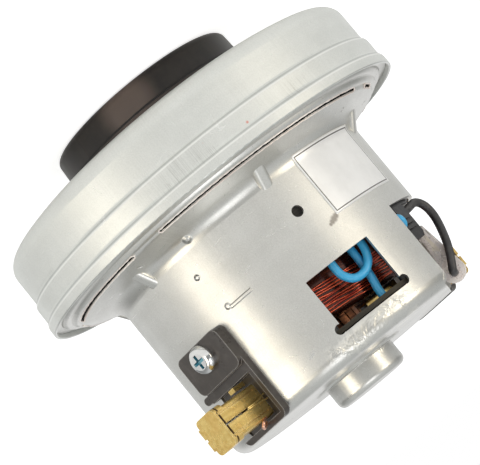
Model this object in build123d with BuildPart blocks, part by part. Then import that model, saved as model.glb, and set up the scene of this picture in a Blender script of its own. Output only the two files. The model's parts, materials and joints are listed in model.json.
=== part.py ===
from build123d import *
import os
from math import cos, degrees, pi, radians, sin, sqrt, tan

# A universal vacuum-cleaner motor: a fan chamber of drawn steel in front, and a
# drawn motor housing behind it, with one shaft through both.
# Millimetres. The origin is the centre of the inlet seal's front face, +Z runs
# along the shaft to the rear bearing boss, and brush A is on +X.

os.makedirs("parts", exist_ok=True)

# Every cut runs past its faces by this much.
overrun = 2.0
# Pieces of one body that lie side by side keep this gap.
seat_gap = 0.1
# Clearance on the radius of a seat on the shaft or in a bearing.
bearing_fit = 0.02
# Faces that pass each other, as the brushes and the commutator do, stay this far apart.
running_gap = 0.3

# Heights along the shaft, from the seal's front face.
seal_height = 12.9
cover_depth = 28.9
plate_recess = 1.7
housing_height = 64.0
boss_height = 8.0
cover_front = seal_height
lip_edge = cover_front + cover_depth
plate_top = lip_edge - plate_recess
housing_end = lip_edge + housing_height
boss_end = housing_end + boss_height

# Fan cover: a domed front, three bands, each a little wider than the last, and a rolled lip.
cover_sheet = 0.9
lip_radius = 66.0
middle_band_radius = 65.2
front_band_radius = 64.25
cover_corner = 5.0
dome_width = 12.95
dome_fall = 4.2
dome_bend = 61.0
lip_band_height = 3.4
middle_band_height = 5.6
band_step_height = 1.2
band_bend = 0.8
lip_round = 0.4
eye_radius = 22.7

# Inlet seal: a rubber cup whose neck grips the edge of the cover's eye.
seal_front_radius = 32.3
seal_back_radius = 33.0
seal_cup_radius = 26.5
seal_web = 4.0
seal_bore_radius = 20.5
seal_edge_round = 2.0
seal_groove_depth = 0.6
seal_groove_height = 0.9
seal_groove_from_back = 1.9
seal_retainer_height = 1.5
seal_retainer_reach = 1.7

# Motor housing: a drawn cup whose stepped flange closes the fan chamber.
housing_sheet = 1.4
sheet_bend = 0.3
housing_radius = 45.2
housing_corner = 4.2
boss_round = 2.2
pedestal_radius = 15.6
pedestal_height = 0.7
pedestal_slope = 0.8
flange_clearance = 0.1
flange_ring_width = 2.6
flange_step_width = 0.8
flange_land_width = 2.0
flange_step_height = 1.5
slit_land_width = 1.4
slit_width = 0.8
slit_lift = 0.9
throat_rise = 3.9
throat_fillet = 5.0

# Slits and gussets of the flange: the slits' start angles and how far they run, in degrees.
slit_starts = (-124.0, -107.0, -12.5, 46.0, 140.0)
slit_spans = (8.0, 83.5, 47.5, 84.0, 66.0)
gusset_count = 6
gusset_width = 4.6
gusset_reach = 5.6
gusset_rise = 5.4
gusset_round = 1.5

# Windows of the housing, centred at these angles, and the open side at the terminals.
window_angles = (-63.0, 63.0, 117.0)
window_front = housing_end - 25.4
window_height = 18.1
window_half_angle = 15.0
window_ear_radius = 1.6
window_ear_reach = 0.7
notch_angle = -131.0
notch_half_angle = 33.0
notch_front = housing_end - 29.0
notch_chord = 36.0
vent_hole_radius = 1.8
vent_hole_height = lip_edge + 20.9
vent_hole_angle = -62.7

# Rolling bearings, both of the same size.
bearing_bore_radius = 4.0
bearing_outer_radius = 11.0
bearing_width = 7.0
ball_radius = 1.9
ball_pitch_radius = 7.5
ball_groove_gap = 0.1
ball_count = 7
inner_land_radius = 5.9
outer_land_radius = 9.1
shield_thickness = 0.3
shield_inset = 0.25
shield_gap = 0.15
wave_washer_thickness = 0.3
wave_washer_width = 2.2
wave_washer_room = 0.4
ring_edge_round = 0.4

# Bracket that carries the fan-side bearing.
bracket_sheet = 1.2
bracket_radius = 64.0
bracket_lip_width = 3.4
bracket_arm_count = 4
bracket_arm_width = 11.0
bracket_window_inner = 17.0
bracket_window_outer = 43.0
bearing_seat_depth = 7.8

# Impeller: a backplate, curved blades and a shroud.
impeller_radius = 53.0
impeller_sheet = 0.9
backplate_thickness = 1.2
blade_count = 9
blade_thickness = 0.9
blade_inner_radius = 23.0
blade_rim_gap = 0.6
blade_sweep = 62.0
blade_bow_share = 0.94
shroud_eye_radius = 18.8
shroud_front = cover_front + 3.0
shroud_turn = cover_front + 5.3
shroud_bend = 1.2
shroud_rim = cover_front + 7.9

# Clamping parts of the impeller on the shaft.
spacer_length = 2.3
spacer_radius = 6.0
washer_thickness = 1.0
washer_radius = 7.5
nut_height = 4.0
nut_across_flats = 11.0
thread_radius = 3.4
shaft_tip_overhang = 1.6
shaft_tip_chamfer = 0.5

# Diffuser: guide vanes round the impeller and return vanes behind it.
diffuser_plate = 1.6
diffuser_plate_radius = 58.4
diffuser_gap = 1.0
diffuser_hub_gap = 2.0
guide_vane_count = 15
guide_vane_inner = 54.4
guide_vane_outer = 62.6
guide_vane_thickness = 1.1
guide_vane_sweep = 14.0
guide_vane_height = 8.0
guide_vane_bow_share = 0.997
return_vane_count = 10
return_vane_inner = 29.0
return_vane_outer = 57.6
return_vane_thickness = 1.4
return_vane_sweep = -34.0
return_vane_bow_share = 0.95

# Stator: laminated core with two poles on the Y axis and pockets on the X axis.
core_front = lip_edge + 7.7
core_rear = housing_end - 29.3
core_clearance = 0.1
core_flat = 41.6
stator_bore_radius = 18.8
armature_gap = 0.6
pocket_inner = 22.4
pocket_half_width = 15.5
pocket_outer_radius = 35.6
pocket_throat = 7.0
insulator_thickness = 1.2
insulator_wall = 1.0
insulator_rear_wall = 11.0
insulator_front_wall = 7.4
insulator_wall_half_angle = 52.0
insulator_edge = 0.9
post_circle = 40.8
post_radius = 1.9
post_angles = (-44.5, -85.0, 46.0, 134.0)

# Field coils: a saddle of copper wire on each pole, with its outer layer of turns.
coil_inner_radius = 23.4
coil_outer_radius = 33.7
coil_rear_height = 16.5
coil_crown_share = 0.25
coil_front_height = 8.6
coil_seat_gap = 0.2
coil_side_start = 4.0
coil_side_span = 19.0
coil_edge_round = 1.6
turn_count = 7
turn_wire_radius = 0.42
turn_self_gap = 0.45
turn_corner_radius = 2.6
turn_first_half_angle = 69.0
turn_seat_gap = 0.08
turn_first_rise = 0.8

# Rotor.
armature_slot_count = 22
armature_slot_width = 1.8
armature_slot_opening = 0.8
armature_slot_bottom = 10.8
armature_slot_top = 16.8
shaft_radius = 4.9
winding_front_length = 8.0
winding_rear_length = 6.5
winding_radius = 16.2
winding_neck_radius = 12.2
winding_neck_gap = 0.4
winding_round = 2.0
winding_bore = 6.2
commutator_length = 14.0
commutator_radius = 11.2
commutator_hub_radius = 7.4
commutator_slot_width = 0.5
riser_height = 1.8
riser_radius = 12.6
shaft_end_gap = 0.8
rear_bearing_gap = 1.3

# Brush gear.
brush_height = housing_end - 8.5
brush_width = 6.2
brush_depth = 9.2
brush_length = 26.0
brush_clearance = 0.12
tube_wall = 0.6
tube_start = 16.0
tube_end = 62.2
tube_seam_width = 0.6
tube_seam_length = 15.5
tube_fold_rise = 0.45
tube_fold_side = 1.9
tube_fold_start = 44.6
tube_fold_end_gap = 0.6
tube_groove_width = 0.5
tube_groove_depth = 0.3
tube_round = 0.9
cap_thickness = 0.7
cap_skirt = 3.2
cap_lug_thickness = 0.8
cap_lug_length = 3.4
cap_lug_gap = 0.8
cap_lug_depth = 2.4
spring_radius = 2.4
spring_wall = 0.6
spring_gap = 0.3
holder_face = 46.6
holder_width = 21.5
holder_front = housing_end - 32.8
holder_rear = housing_end
holder_corner = 2.4
holder_lug_rise = 1.6
holder_lug_length = 13.2
holder_lug_gap = 2.6
holder_rim = 1.6
holder_floor_depth = 3.2
holder_block_start = 40.0
holder_neck_width = 13.0
holder_neck_height = 13.4
holder_neck_start = 30.0
holder_clearance = 0.4
ear_width = 2.6
ear_length = 3.0
contact_width = 2.6
contact_thickness = 1.4
contact_height = housing_end - 15.5
contact_reach = 4.6
contact_foot = 2.0
screw_height = housing_end - 28.0
screw_head_radius = 4.5
screw_head_height = 2.6
screw_head_round = 1.9
screw_radius = 1.75
screw_tip_gap = 0.15
cross_recess_width = 1.1
cross_recess_length = 4.6
cross_recess_depth = 1.3

# Leads, the terminal with its sleeve, the lead block and the insulating ring.
lead_radius = 1.3
lead_reach_share = 0.45
block_angle = -110.5
block_width = 12.6
block_inner_radius = 37.4
block_outer_radius = 41.6
block_step_rise = 1.5
block_step_height = 4.6
block_step_width = 8.0
block_rib_width = 0.9
block_rib_gap = 0.8
block_rib_count = 2
block_height = 11.4
block_chamfer = 1.6
sleeve_angle = -128.5
sleeve_mouth_radius = 39.0
sleeve_mouth_width = 5.6
sleeve_mouth_length = 2.0
sleeve_end_radius = 3.75
sleeve_eye_radius = 40.4
sleeve_thickness = 5.2
sleeve_wall = 0.7
sleeve_front = housing_end - 20.0
sleeve_rear = housing_end + 0.4
terminal_width = 3.6
terminal_thickness = 0.8
terminal_length = 16.0
ring_height = housing_end - 9.2
ring_inner_radius = 32.0
ring_thickness = 1.4
ring_edge_gap = 0.4

# The black lead's route beside its sleeve: outward from the shaft, sideways from the
# sleeve's middle, and up from the insulator's rear. It starts at the block's side.
black_lead_route = (
    (42.1, 1.6, 2.1),
    (45.2, -3.6, 3.0),
    (47.6, -5.2, 7.0),
    (47.9, -4.2, 11.7),
    (46.9, -1.2, 16.3),
    (44.8, 2.8, 19.7),
    (42.7, 6.4, 22.1),
    (40.4, 6.6, 25.4),
)
black_lead_start = 2.1
# The blue leads' routes: distance to the shaft, angle, and height above the insulator.
blue_lead_routes = {
    "a": (
        (40.0, -62.0, 0.1),
        (40.0, -62.0, 6.9),
        (40.0, -65.6, 10.2),
        (40.0, -71.6, 10.4),
        (40.0, -76.6, 8.3),
        (40.0, -79.2, 4.3),
        (40.0, -79.2, 0.1),
    ),
    "b": (
        (37.2, -75.6, 0.1),
        (37.2, -75.6, 6.9),
        (37.2, -74.9, 12.5),
        (37.2, -73.4, 16.5),
        (37.2, -73.4, 18.8),
    ),
}

# Heights and radii that follow from the sizes above.
bracket_top = plate_top - housing_sheet
bracket_bottom = bracket_top - bracket_sheet
front_bearing_front = bracket_top - bearing_seat_depth
bearing_seat_radius = bearing_outer_radius + bearing_fit
boss_radius = bearing_seat_radius + housing_sheet
rear_bearing_front = boss_end - housing_sheet - wave_washer_room - bearing_width
commutator_front = rear_bearing_front - rear_bearing_gap - commutator_length
impeller_back = front_bearing_front - spacer_length
impeller_front = impeller_back - backplate_thickness
nut_front = impeller_front - washer_thickness - nut_height
core_length = core_rear - core_front
core_radius = housing_radius - housing_sheet - core_clearance
armature_radius = stator_bore_radius - armature_gap
plate_rear = core_rear + insulator_thickness
plate_front = core_front - insulator_thickness
coil_rear = plate_rear + coil_seat_gap + coil_rear_height
coil_front = plate_front - coil_seat_gap - coil_front_height
tube_width = brush_width + 2 * (brush_clearance + tube_wall)
tube_height = brush_depth + 2 * (brush_clearance + tube_wall)
holder_middle = (holder_front + holder_rear) / 2
recess_front = holder_front + holder_lug_length + holder_lug_gap
recess_rear = holder_rear - holder_rim
recess_middle = (recess_front + recess_rear) / 2
recess_width = holder_width - 2 * holder_rim


def polar(radius, angle, height):
    """A point from its distance to the shaft, its angle from +X and its height."""
    return (radius * cos(radians(angle)), radius * sin(radians(angle)), height)


def beside(points, gap):
    """The corners of the line that runs to the left of the given one, at the gap."""
    corners = [Vector(*point) for point in points]
    runs = [(b - a).normalized() for a, b in zip(corners, corners[1:])]
    lefts = [Vector(-run.Y, run.X) for run in runs]
    moved = [corners[0] + lefts[0] * gap]
    for corner, before, after in zip(corners[1:-1], lefts, lefts[1:]):
        moved.append(corner + (before + after) * (gap / (1 + before.dot(after))))
    moved.append(corners[-1] + lefts[-1] * gap)
    return [(point.X, point.Y) for point in moved]


def turns_left(points):
    """For each inner corner of the line, whether it turns to the left."""
    corners = [Vector(*point) for point in points]
    runs = [b - a for a, b in zip(corners, corners[1:])]
    return [before.cross(after).Z > 0 for before, after in zip(runs, runs[1:])]


def sheet_outline(points, bends, sheet):
    """The outline of bent sheet whose wall lies to the left of the given line."""
    other_side = beside(points, sheet)
    lefts = turns_left(points)
    near_radii = [bend + sheet if left else bend for bend, left in zip(bends, lefts)]
    far_radii = [bend if left else bend + sheet for bend, left in zip(bends, lefts)]
    FilletPolyline(*points, radius=near_radii)
    FilletPolyline(*other_side, radius=far_radii)
    if (points[0][0], other_side[0][0]) != (0, 0):
        Line(points[0], other_side[0])
    Line(points[-1], other_side[-1])


def facing(angle, distance, height):
    """A plane square to the radius at an angle: x runs along the turn, y runs up."""
    return Plane(
        origin=polar(distance, angle, height),
        x_dir=(-sin(radians(angle)), cos(radians(angle)), 0),
        z_dir=(cos(radians(angle)), sin(radians(angle)), 0),
    )


def radial(angle):
    """The plane through the shaft at an angle: x runs outward, y runs up."""
    return Plane(
        origin=(0, 0, 0),
        x_dir=(cos(radians(angle)), sin(radians(angle)), 0),
        z_dir=(sin(radians(angle)), -cos(radians(angle)), 0),
    )


def ring_face(inner, outer, front, rear):
    """The section of a plain ring, for a revolve about the shaft."""
    with Locations((inner, front)):
        Rectangle(outer - inner, rear - front, align=(Align.MIN, Align.MIN))


def sector(inner, outer, start, span):
    """Part of a ring between two radii, from one angle over a span."""
    with BuildSketch() as shape:
        with BuildLine():
            near = CenterArc((0, 0), inner, start, span)
            far = CenterArc((0, 0), outer, start, span)
            Line(near @ 0, far @ 0)
            Line(near @ 1, far @ 1)
        make_face()
    return shape.sketch


def vane_line(inner, outer, sweep, bow_share):
    """A curved vane's middle line, its midpoint drawn in to a share of its radius."""
    return ThreePointArc(
        polar(inner, 0, 0)[:2],
        polar((inner + outer) / 2 * bow_share, sweep / 2, 0)[:2],
        polar(outer, sweep, 0)[:2],
    )


def lead_radii(points):
    """The largest bends that a route's runs allow, one for each inner corner."""
    corners = [Vector(*point) for point in points]
    radii = []
    for before, corner, after in zip(corners, corners[1:], corners[2:]):
        run = min((corner - before).length, (after - corner).length)
        turn = radians((corner - before).get_angle(after - corner))
        radii.append(lead_reach_share * run / tan(turn / 2))
    return radii


# Fan cover
middle_band_top = lip_edge - lip_band_height - band_step_height
front_band_top = middle_band_top - middle_band_height - band_step_height
cover_points = (
    (eye_radius, cover_front),
    (front_band_radius - dome_width, cover_front),
    (front_band_radius, cover_front + dome_fall),
    (front_band_radius, front_band_top),
    (middle_band_radius, front_band_top + band_step_height),
    (middle_band_radius, middle_band_top),
    (lip_radius, middle_band_top + band_step_height),
    (lip_radius, lip_edge),
)
cover_bends = (dome_bend, cover_corner - cover_sheet, band_bend, band_bend, band_bend, band_bend)
with BuildPart() as fan_cover:
    with BuildSketch(Plane.XZ):
        with BuildLine():
            sheet_outline(cover_points, cover_bends, cover_sheet)
        make_face()
    revolve(axis=Axis.Z)
    fillet(fan_cover.edges().group_by(Axis.Z)[-1], radius=lip_round)
fan_cover.part.label = "fan_cover"
export_step(fan_cover.part, "parts/fan_cover.step")

# Inlet seal
neck_radius = eye_radius - seat_gap
retainer_front = cover_front + cover_sheet + seat_gap
with BuildPart() as inlet_seal:
    with BuildSketch(Plane.XZ):
        with BuildLine():
            Polyline(
                (seal_cup_radius, 0),
                (seal_front_radius, 0),
                (seal_back_radius, seal_height),
                (neck_radius, seal_height),
                (neck_radius, retainer_front),
                (neck_radius + seal_retainer_reach, retainer_front),
                (neck_radius + seal_retainer_reach, retainer_front + seal_retainer_height),
                (seal_bore_radius, retainer_front + seal_retainer_height),
                (seal_bore_radius, seal_height - seal_web),
                (seal_cup_radius, seal_height - seal_web),
                close=True,
            )
        make_face()
        with Locations((seal_back_radius, seal_height - seal_groove_from_back)):
            Rectangle(2 * seal_groove_depth, seal_groove_height, mode=Mode.SUBTRACT)
    revolve(axis=Axis.Z)
    fillet(inlet_seal.edges().group_by(Axis.Z)[0].sort_by(SortBy.LENGTH)[-1], radius=seal_edge_round)
inlet_seal.part.label = "inlet_seal"
export_step(inlet_seal.part, "parts/inlet_seal.step")

# Motor housing: a stepped flange, a throat, the wall, the end and the bearing boss
flange_radius = lip_radius - cover_sheet - flange_clearance
first_step = flange_radius - flange_ring_width
second_step = first_step - flange_step_width - flange_land_width
slit_step = second_step - flange_step_width - slit_land_width
land_top = plate_top + 2 * flange_step_height
throat_front = land_top + slit_lift
throat_corner = throat_front + throat_rise
pedestal_rear = housing_end + pedestal_height
housing_points = (
    (flange_radius, plate_top),
    (first_step, plate_top),
    (first_step - flange_step_width, plate_top + flange_step_height),
    (second_step, plate_top + flange_step_height),
    (second_step - flange_step_width, land_top),
    (slit_step, land_top),
    (slit_step - slit_width, throat_front),
    (housing_radius, throat_corner),
    (housing_radius, housing_end),
    (pedestal_radius + pedestal_slope, housing_end),
    (pedestal_radius, pedestal_rear),
    (boss_radius, pedestal_rear),
    (boss_radius, boss_end),
    (0, boss_end),
)
housing_bends = (
    sheet_bend,
    sheet_bend,
    sheet_bend,
    sheet_bend,
    sheet_bend,
    sheet_bend,
    throat_fillet,
    housing_corner - housing_sheet,
    sheet_bend,
    sheet_bend,
    sheet_bend,
    boss_round - housing_sheet,
)
wall_middle = housing_radius - housing_sheet / 2
window_width = 2 * housing_radius * sin(radians(window_half_angle))
notch_width = 2 * housing_radius * sin(radians(notch_half_angle))
notch_height = housing_end + overrun - notch_front
with BuildPart() as motor_housing:
    with BuildSketch(Plane.XZ):
        with BuildLine():
            sheet_outline(housing_points, housing_bends, housing_sheet)
            Line((0, boss_end), (0, boss_end - housing_sheet))
        make_face()
    revolve(axis=Axis.Z)
    # Gussets stiffen the bend between flange and wall.
    gusset_foot = Vector(housing_radius + gusset_reach, 0, throat_front + housing_sheet / 2)
    gusset_head = Vector(wall_middle, 0, throat_corner + gusset_rise)
    for number in range(gusset_count):
        with BuildSketch(radial(number * 360 / gusset_count)):
            with BuildLine():
                Polyline(
                    (wall_middle, throat_corner - housing_sheet / 2),
                    (gusset_foot.X, gusset_foot.Z),
                    (gusset_head.X, gusset_head.Z),
                    close=True,
                )
            make_face()
        extrude(amount=gusset_width / 2, both=True)
    for number in range(gusset_count):
        ridge_way = (gusset_foot - gusset_head).rotate(Axis.Z, number * 360 / gusset_count)
        fillet(motor_housing.edges().filter_by(Axis((0, 0, 0), ridge_way)), radius=gusset_round)
    # Arc slits beside the second step
    with BuildSketch(Plane.XY.offset(plate_top)):
        for start, span in zip(slit_starts, slit_spans):
            add(sector(slit_step - slit_width, slit_step, start, span))
    extrude(amount=throat_rise + land_top - plate_top, mode=Mode.SUBTRACT)
    # Windows with ears at the rear corners
    for angle in window_angles:
        with BuildSketch(facing(angle, 0, window_front + window_height / 2)):
            Rectangle(window_width, window_height)
            ear_x = window_width / 2 + window_ear_reach
            with Locations(
                (ear_x, window_height / 2 - window_ear_radius),
                (-ear_x, window_height / 2 - window_ear_radius),
            ):
                Circle(window_ear_radius)
        extrude(amount=housing_radius + overrun, mode=Mode.SUBTRACT)
    # The open side at the terminal runs out through the end
    with BuildSketch(facing(notch_angle, notch_chord, notch_front + notch_height / 2)):
        Rectangle(notch_width, notch_height)
    extrude(amount=housing_radius, mode=Mode.SUBTRACT)
    with BuildSketch(facing(vent_hole_angle, 0, vent_hole_height)):
        Circle(vent_hole_radius)
    extrude(amount=housing_radius + overrun, mode=Mode.SUBTRACT)
    # Ports of the brush holders, and their screw holes
    for turn in (0, 180):
        with BuildSketch(facing(turn, 0, recess_middle)):
            Rectangle(recess_width + 2 * holder_clearance, recess_rear - recess_front + 2 * holder_clearance)
            with Locations((0, screw_height - recess_middle)):
                Circle(screw_radius)
        extrude(amount=housing_radius + overrun, mode=Mode.SUBTRACT)
motor_housing.part.label = "motor_housing"
export_step(motor_housing.part, "parts/motor_housing.step")

# Bracket of the fan-side bearing
bracket_cup_radius = bearing_seat_radius + bracket_sheet
with BuildPart() as front_bearing_bracket:
    with BuildSketch(Plane.XY.offset(bracket_bottom)):
        Circle(bracket_radius)
        with BuildSketch(Plane.XY.offset(bracket_bottom), mode=Mode.PRIVATE) as bracket_windows:
            Circle(bracket_window_outer)
            Circle(bracket_window_inner, mode=Mode.SUBTRACT)
            with PolarLocations(0, bracket_arm_count // 2, angular_range=180):
                Rectangle(2 * bracket_radius, bracket_arm_width, mode=Mode.SUBTRACT)
        add(bracket_windows.sketch, mode=Mode.SUBTRACT)
        Circle(bearing_seat_radius, mode=Mode.SUBTRACT)
    extrude(amount=bracket_sheet)
    with BuildSketch(Plane.XZ):
        ring_face(bearing_seat_radius, bracket_cup_radius, front_bearing_front - bracket_sheet, bracket_top)
        ring_face(
            bearing_outer_radius - bracket_lip_width,
            bracket_cup_radius,
            front_bearing_front - bracket_sheet,
            front_bearing_front,
        )
    revolve(axis=Axis.Z)
front_bearing_bracket.part.label = "front_bearing_bracket"
export_step(front_bearing_bracket.part, "parts/front_bearing_bracket.step")

# Diffuser
diffuser_front = impeller_back + diffuser_gap
diffuser_rear = diffuser_front + diffuser_plate
with BuildPart() as diffuser:
    with BuildSketch(Plane.XY.offset(diffuser_front)):
        Circle(diffuser_plate_radius)
        Circle(bracket_cup_radius + diffuser_hub_gap, mode=Mode.SUBTRACT)
    extrude(amount=diffuser_plate)
    with BuildSketch(Plane.XY.offset(diffuser_rear - guide_vane_height)):
        with PolarLocations(0, guide_vane_count):
            with BuildLine():
                guide_line = vane_line(
                    guide_vane_inner, guide_vane_outer, guide_vane_sweep, guide_vane_bow_share
                )
            SlotArc(guide_line, guide_vane_thickness)
    extrude(amount=guide_vane_height)
    with BuildSketch(Plane.XY.offset(diffuser_rear)):
        with PolarLocations(0, return_vane_count):
            with BuildLine():
                return_line = vane_line(
                    return_vane_inner, return_vane_outer, return_vane_sweep, return_vane_bow_share
                )
            SlotArc(return_line, return_vane_thickness)
    extrude(amount=bracket_bottom - seat_gap - diffuser_rear)
diffuser.part.label = "diffuser"
export_step(diffuser.part, "parts/diffuser.step")

# Ball bearings
ball_groove_radius = ball_radius + ball_groove_gap
for place, front in (("front", front_bearing_front), ("rear", rear_bearing_front)):
    middle = front + bearing_width / 2
    rear = front + bearing_width
    with BuildPart() as outer_ring:
        with BuildSketch(Plane.XZ) as ring_section:
            ring_face(outer_land_radius, bearing_outer_radius, front, rear)
            fillet(ring_section.vertices().group_by(Axis.X)[-1], radius=ring_edge_round)
            with Locations((ball_pitch_radius, middle)):
                Circle(ball_groove_radius, mode=Mode.SUBTRACT)
        revolve(axis=Axis.Z)
    outer_ring.part.label = place + "_bearing_outer_ring"
    export_step(outer_ring.part, "parts/" + place + "_bearing_outer_ring.step")

    with BuildPart() as inner_ring:
        with BuildSketch(Plane.XZ):
            ring_face(bearing_bore_radius, inner_land_radius, front, rear)
            with Locations((ball_pitch_radius, middle)):
                Circle(ball_groove_radius, mode=Mode.SUBTRACT)
        revolve(axis=Axis.Z)
    inner_ring.part.label = place + "_bearing_inner_ring"
    export_step(inner_ring.part, "parts/" + place + "_bearing_inner_ring.step")

    with BuildPart() as bearing_balls:
        with Locations((0, 0, middle)):
            with PolarLocations(ball_pitch_radius, ball_count):
                Sphere(ball_radius)
    bearing_balls.part.label = place + "_bearing_balls"
    export_step(bearing_balls.part, "parts/" + place + "_bearing_balls.step")

    with BuildPart() as bearing_shields:
        with BuildSketch(Plane.XZ):
            shield_inner = inner_land_radius + shield_gap
            shield_outer = outer_land_radius - bearing_fit
            for shield_front in (front + shield_inset, rear - shield_inset - shield_thickness):
                ring_face(shield_inner, shield_outer, shield_front, shield_front + shield_thickness)
        revolve(axis=Axis.Z)
    bearing_shields.part.label = place + "_bearing_shields"
    export_step(bearing_shields.part, "parts/" + place + "_bearing_shields.step")

# Spring washer in the bottom of the rear boss
with BuildPart() as bearing_washer:
    with BuildSketch(Plane.XZ):
        washer_rear = boss_end - housing_sheet - bearing_fit
        washer_outer = bearing_seat_radius - (boss_round - housing_sheet)
        ring_face(
            washer_outer - wave_washer_width,
            washer_outer,
            washer_rear - wave_washer_thickness,
            washer_rear,
        )
    revolve(axis=Axis.Z)
bearing_washer.part.label = "bearing_spring_washer"
export_step(bearing_washer.part, "parts/bearing_spring_washer.step")

# Shaft
journal_radius = bearing_bore_radius - bearing_fit
tip = nut_front - shaft_tip_overhang
with BuildPart() as shaft:
    with BuildSketch(Plane.XZ):
        with BuildLine():
            Polyline(
                (0, tip),
                (thread_radius - shaft_tip_chamfer, tip),
                (thread_radius, tip + shaft_tip_chamfer),
                (thread_radius, front_bearing_front),
                (journal_radius, front_bearing_front),
                (journal_radius, front_bearing_front + bearing_width),
                (shaft_radius, front_bearing_front + bearing_width),
                (shaft_radius, rear_bearing_front),
                (journal_radius, rear_bearing_front),
                (journal_radius, rear_bearing_front + bearing_width - shaft_end_gap),
                (0, rear_bearing_front + bearing_width - shaft_end_gap),
                close=True,
            )
        make_face()
    revolve(axis=Axis.Z)
shaft.part.label = "shaft"
export_step(shaft.part, "parts/shaft.step")

# Impeller: backplate, blades between it and the shroud, and the shroud
shaft_hole = thread_radius + bearing_fit
with BuildPart() as impeller_backplate:
    with BuildSketch(Plane.XY.offset(impeller_front)):
        Circle(impeller_radius)
        Circle(shaft_hole, mode=Mode.SUBTRACT)
    extrude(amount=backplate_thickness)
impeller_backplate.part.label = "impeller_backplate"
export_step(impeller_backplate.part, "parts/impeller_backplate.step")

shroud_points = (
    (impeller_radius, shroud_rim),
    (shroud_eye_radius, shroud_turn),
    (shroud_eye_radius, shroud_front),
)
with BuildPart() as impeller_shroud:
    with BuildSketch(Plane.XZ):
        with BuildLine():
            sheet_outline(shroud_points, (shroud_bend,), impeller_sheet)
        make_face()
    revolve(axis=Axis.Z)
impeller_shroud.part.label = "impeller_shroud"
export_step(impeller_shroud.part, "parts/impeller_shroud.step")

with BuildPart() as impeller_blades:
    with BuildSketch(Plane.XY.offset(shroud_turn)):
        with PolarLocations(0, blade_count):
            with BuildLine():
                blade_line = vane_line(
                    blade_inner_radius, impeller_radius - blade_rim_gap, blade_sweep, blade_bow_share
                )
            SlotArc(blade_line, blade_thickness)
    extrude(amount=impeller_front - seat_gap - shroud_turn)
    # The blades narrow towards the rim, as the shroud slopes.
    with BuildSketch(Plane.XZ):
        with BuildLine():
            Polyline(
                (shroud_eye_radius, shroud_turn + seat_gap),
                (impeller_radius, shroud_rim + seat_gap),
                (impeller_radius, impeller_front),
                (shroud_eye_radius, impeller_front),
                close=True,
            )
        make_face()
    revolve(axis=Axis.Z, mode=Mode.INTERSECT)
impeller_blades.part.label = "impeller_blades"
export_step(impeller_blades.part, "parts/impeller_blades.step")

# Spacer, washer and nut clamp the impeller
with BuildPart() as impeller_spacer:
    with BuildSketch(Plane.XZ):
        ring_face(shaft_hole, spacer_radius, impeller_back, front_bearing_front)
    revolve(axis=Axis.Z)
impeller_spacer.part.label = "impeller_spacer"
export_step(impeller_spacer.part, "parts/impeller_spacer.step")

with BuildPart() as impeller_washer:
    with BuildSketch(Plane.XZ):
        ring_face(shaft_hole, washer_radius, impeller_front - washer_thickness, impeller_front)
    revolve(axis=Axis.Z)
impeller_washer.part.label = "impeller_washer"
export_step(impeller_washer.part, "parts/impeller_washer.step")

with BuildPart() as impeller_nut:
    with BuildSketch(Plane.XY.offset(nut_front)):
        RegularPolygon(radius=nut_across_flats / 2, side_count=6, major_radius=False)
        Circle(shaft_hole, mode=Mode.SUBTRACT)
    extrude(amount=nut_height)
impeller_nut.part.label = "impeller_nut"
export_step(impeller_nut.part, "parts/impeller_nut.step")

# Armature core: slots with narrow mouths round the rim
slot_bottom = armature_slot_bottom
slot_length = armature_slot_top - armature_slot_bottom
with BuildPart() as armature_core:
    with BuildSketch(Plane.XY.offset(core_front)):
        Circle(armature_radius)
        Circle(shaft_radius + bearing_fit, mode=Mode.SUBTRACT)
        with PolarLocations(0, armature_slot_count):
            with Locations((slot_bottom + slot_length / 2, 0)):
                Rectangle(slot_length, armature_slot_width, mode=Mode.SUBTRACT)
            with Locations((armature_radius, 0)):
                mouth_length = 2 * (armature_radius - armature_slot_top)
                Rectangle(mouth_length + overrun, armature_slot_opening, mode=Mode.SUBTRACT)
    extrude(amount=core_length)
armature_core.part.label = "armature_core"
export_step(armature_core.part, "parts/armature_core.step")

# Armature winding: bars in the slots, and a head of wire at each end
winding_rear = core_rear + seat_gap + winding_rear_length
winding_front = core_front - seat_gap - winding_front_length
bar_width = armature_slot_width - 2 * seat_gap
with BuildPart() as armature_winding:
    with BuildSketch(Plane.XY.offset(winding_front + winding_round)):
        with PolarLocations(0, armature_slot_count):
            with Locations((slot_bottom + slot_length / 2, 0)):
                Rectangle(slot_length - 2 * seat_gap, bar_width)
    extrude(amount=winding_rear - winding_front - 2 * winding_round)
    with BuildSketch(Plane.XZ):
        with BuildLine():
            FilletPolyline(
                (winding_bore, core_front - seat_gap),
                (winding_bore, winding_front),
                (winding_radius, winding_front),
                (winding_radius, core_front - seat_gap),
                radius=winding_round,
            )
            Line((winding_radius, core_front - seat_gap), (winding_bore, core_front - seat_gap))
        make_face()
    revolve(axis=Axis.Z)
    with BuildSketch(Plane.XZ):
        with BuildLine():
            winding_end = commutator_front - winding_neck_gap
            FilletPolyline(
                (winding_radius, core_rear + seat_gap),
                (winding_radius, winding_rear),
                (winding_neck_radius, winding_end),
                radius=winding_round,
            )
            Polyline(
                (winding_neck_radius, winding_end),
                (winding_bore, winding_end),
                (winding_bore, core_rear + seat_gap),
                (winding_radius, core_rear + seat_gap),
            )
        make_face()
    revolve(axis=Axis.Z)
armature_winding.part.label = "armature_winding"
export_step(armature_winding.part, "parts/armature_winding.step")

# Commutator: its hub, and the bars with their risers
commutator_rear = commutator_front + commutator_length
with BuildPart() as commutator_hub:
    with BuildSketch(Plane.XZ):
        ring_face(shaft_radius + bearing_fit, commutator_hub_radius, commutator_front, commutator_rear)
    revolve(axis=Axis.Z)
commutator_hub.part.label = "commutator_hub"
export_step(commutator_hub.part, "parts/commutator_hub.step")

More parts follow.
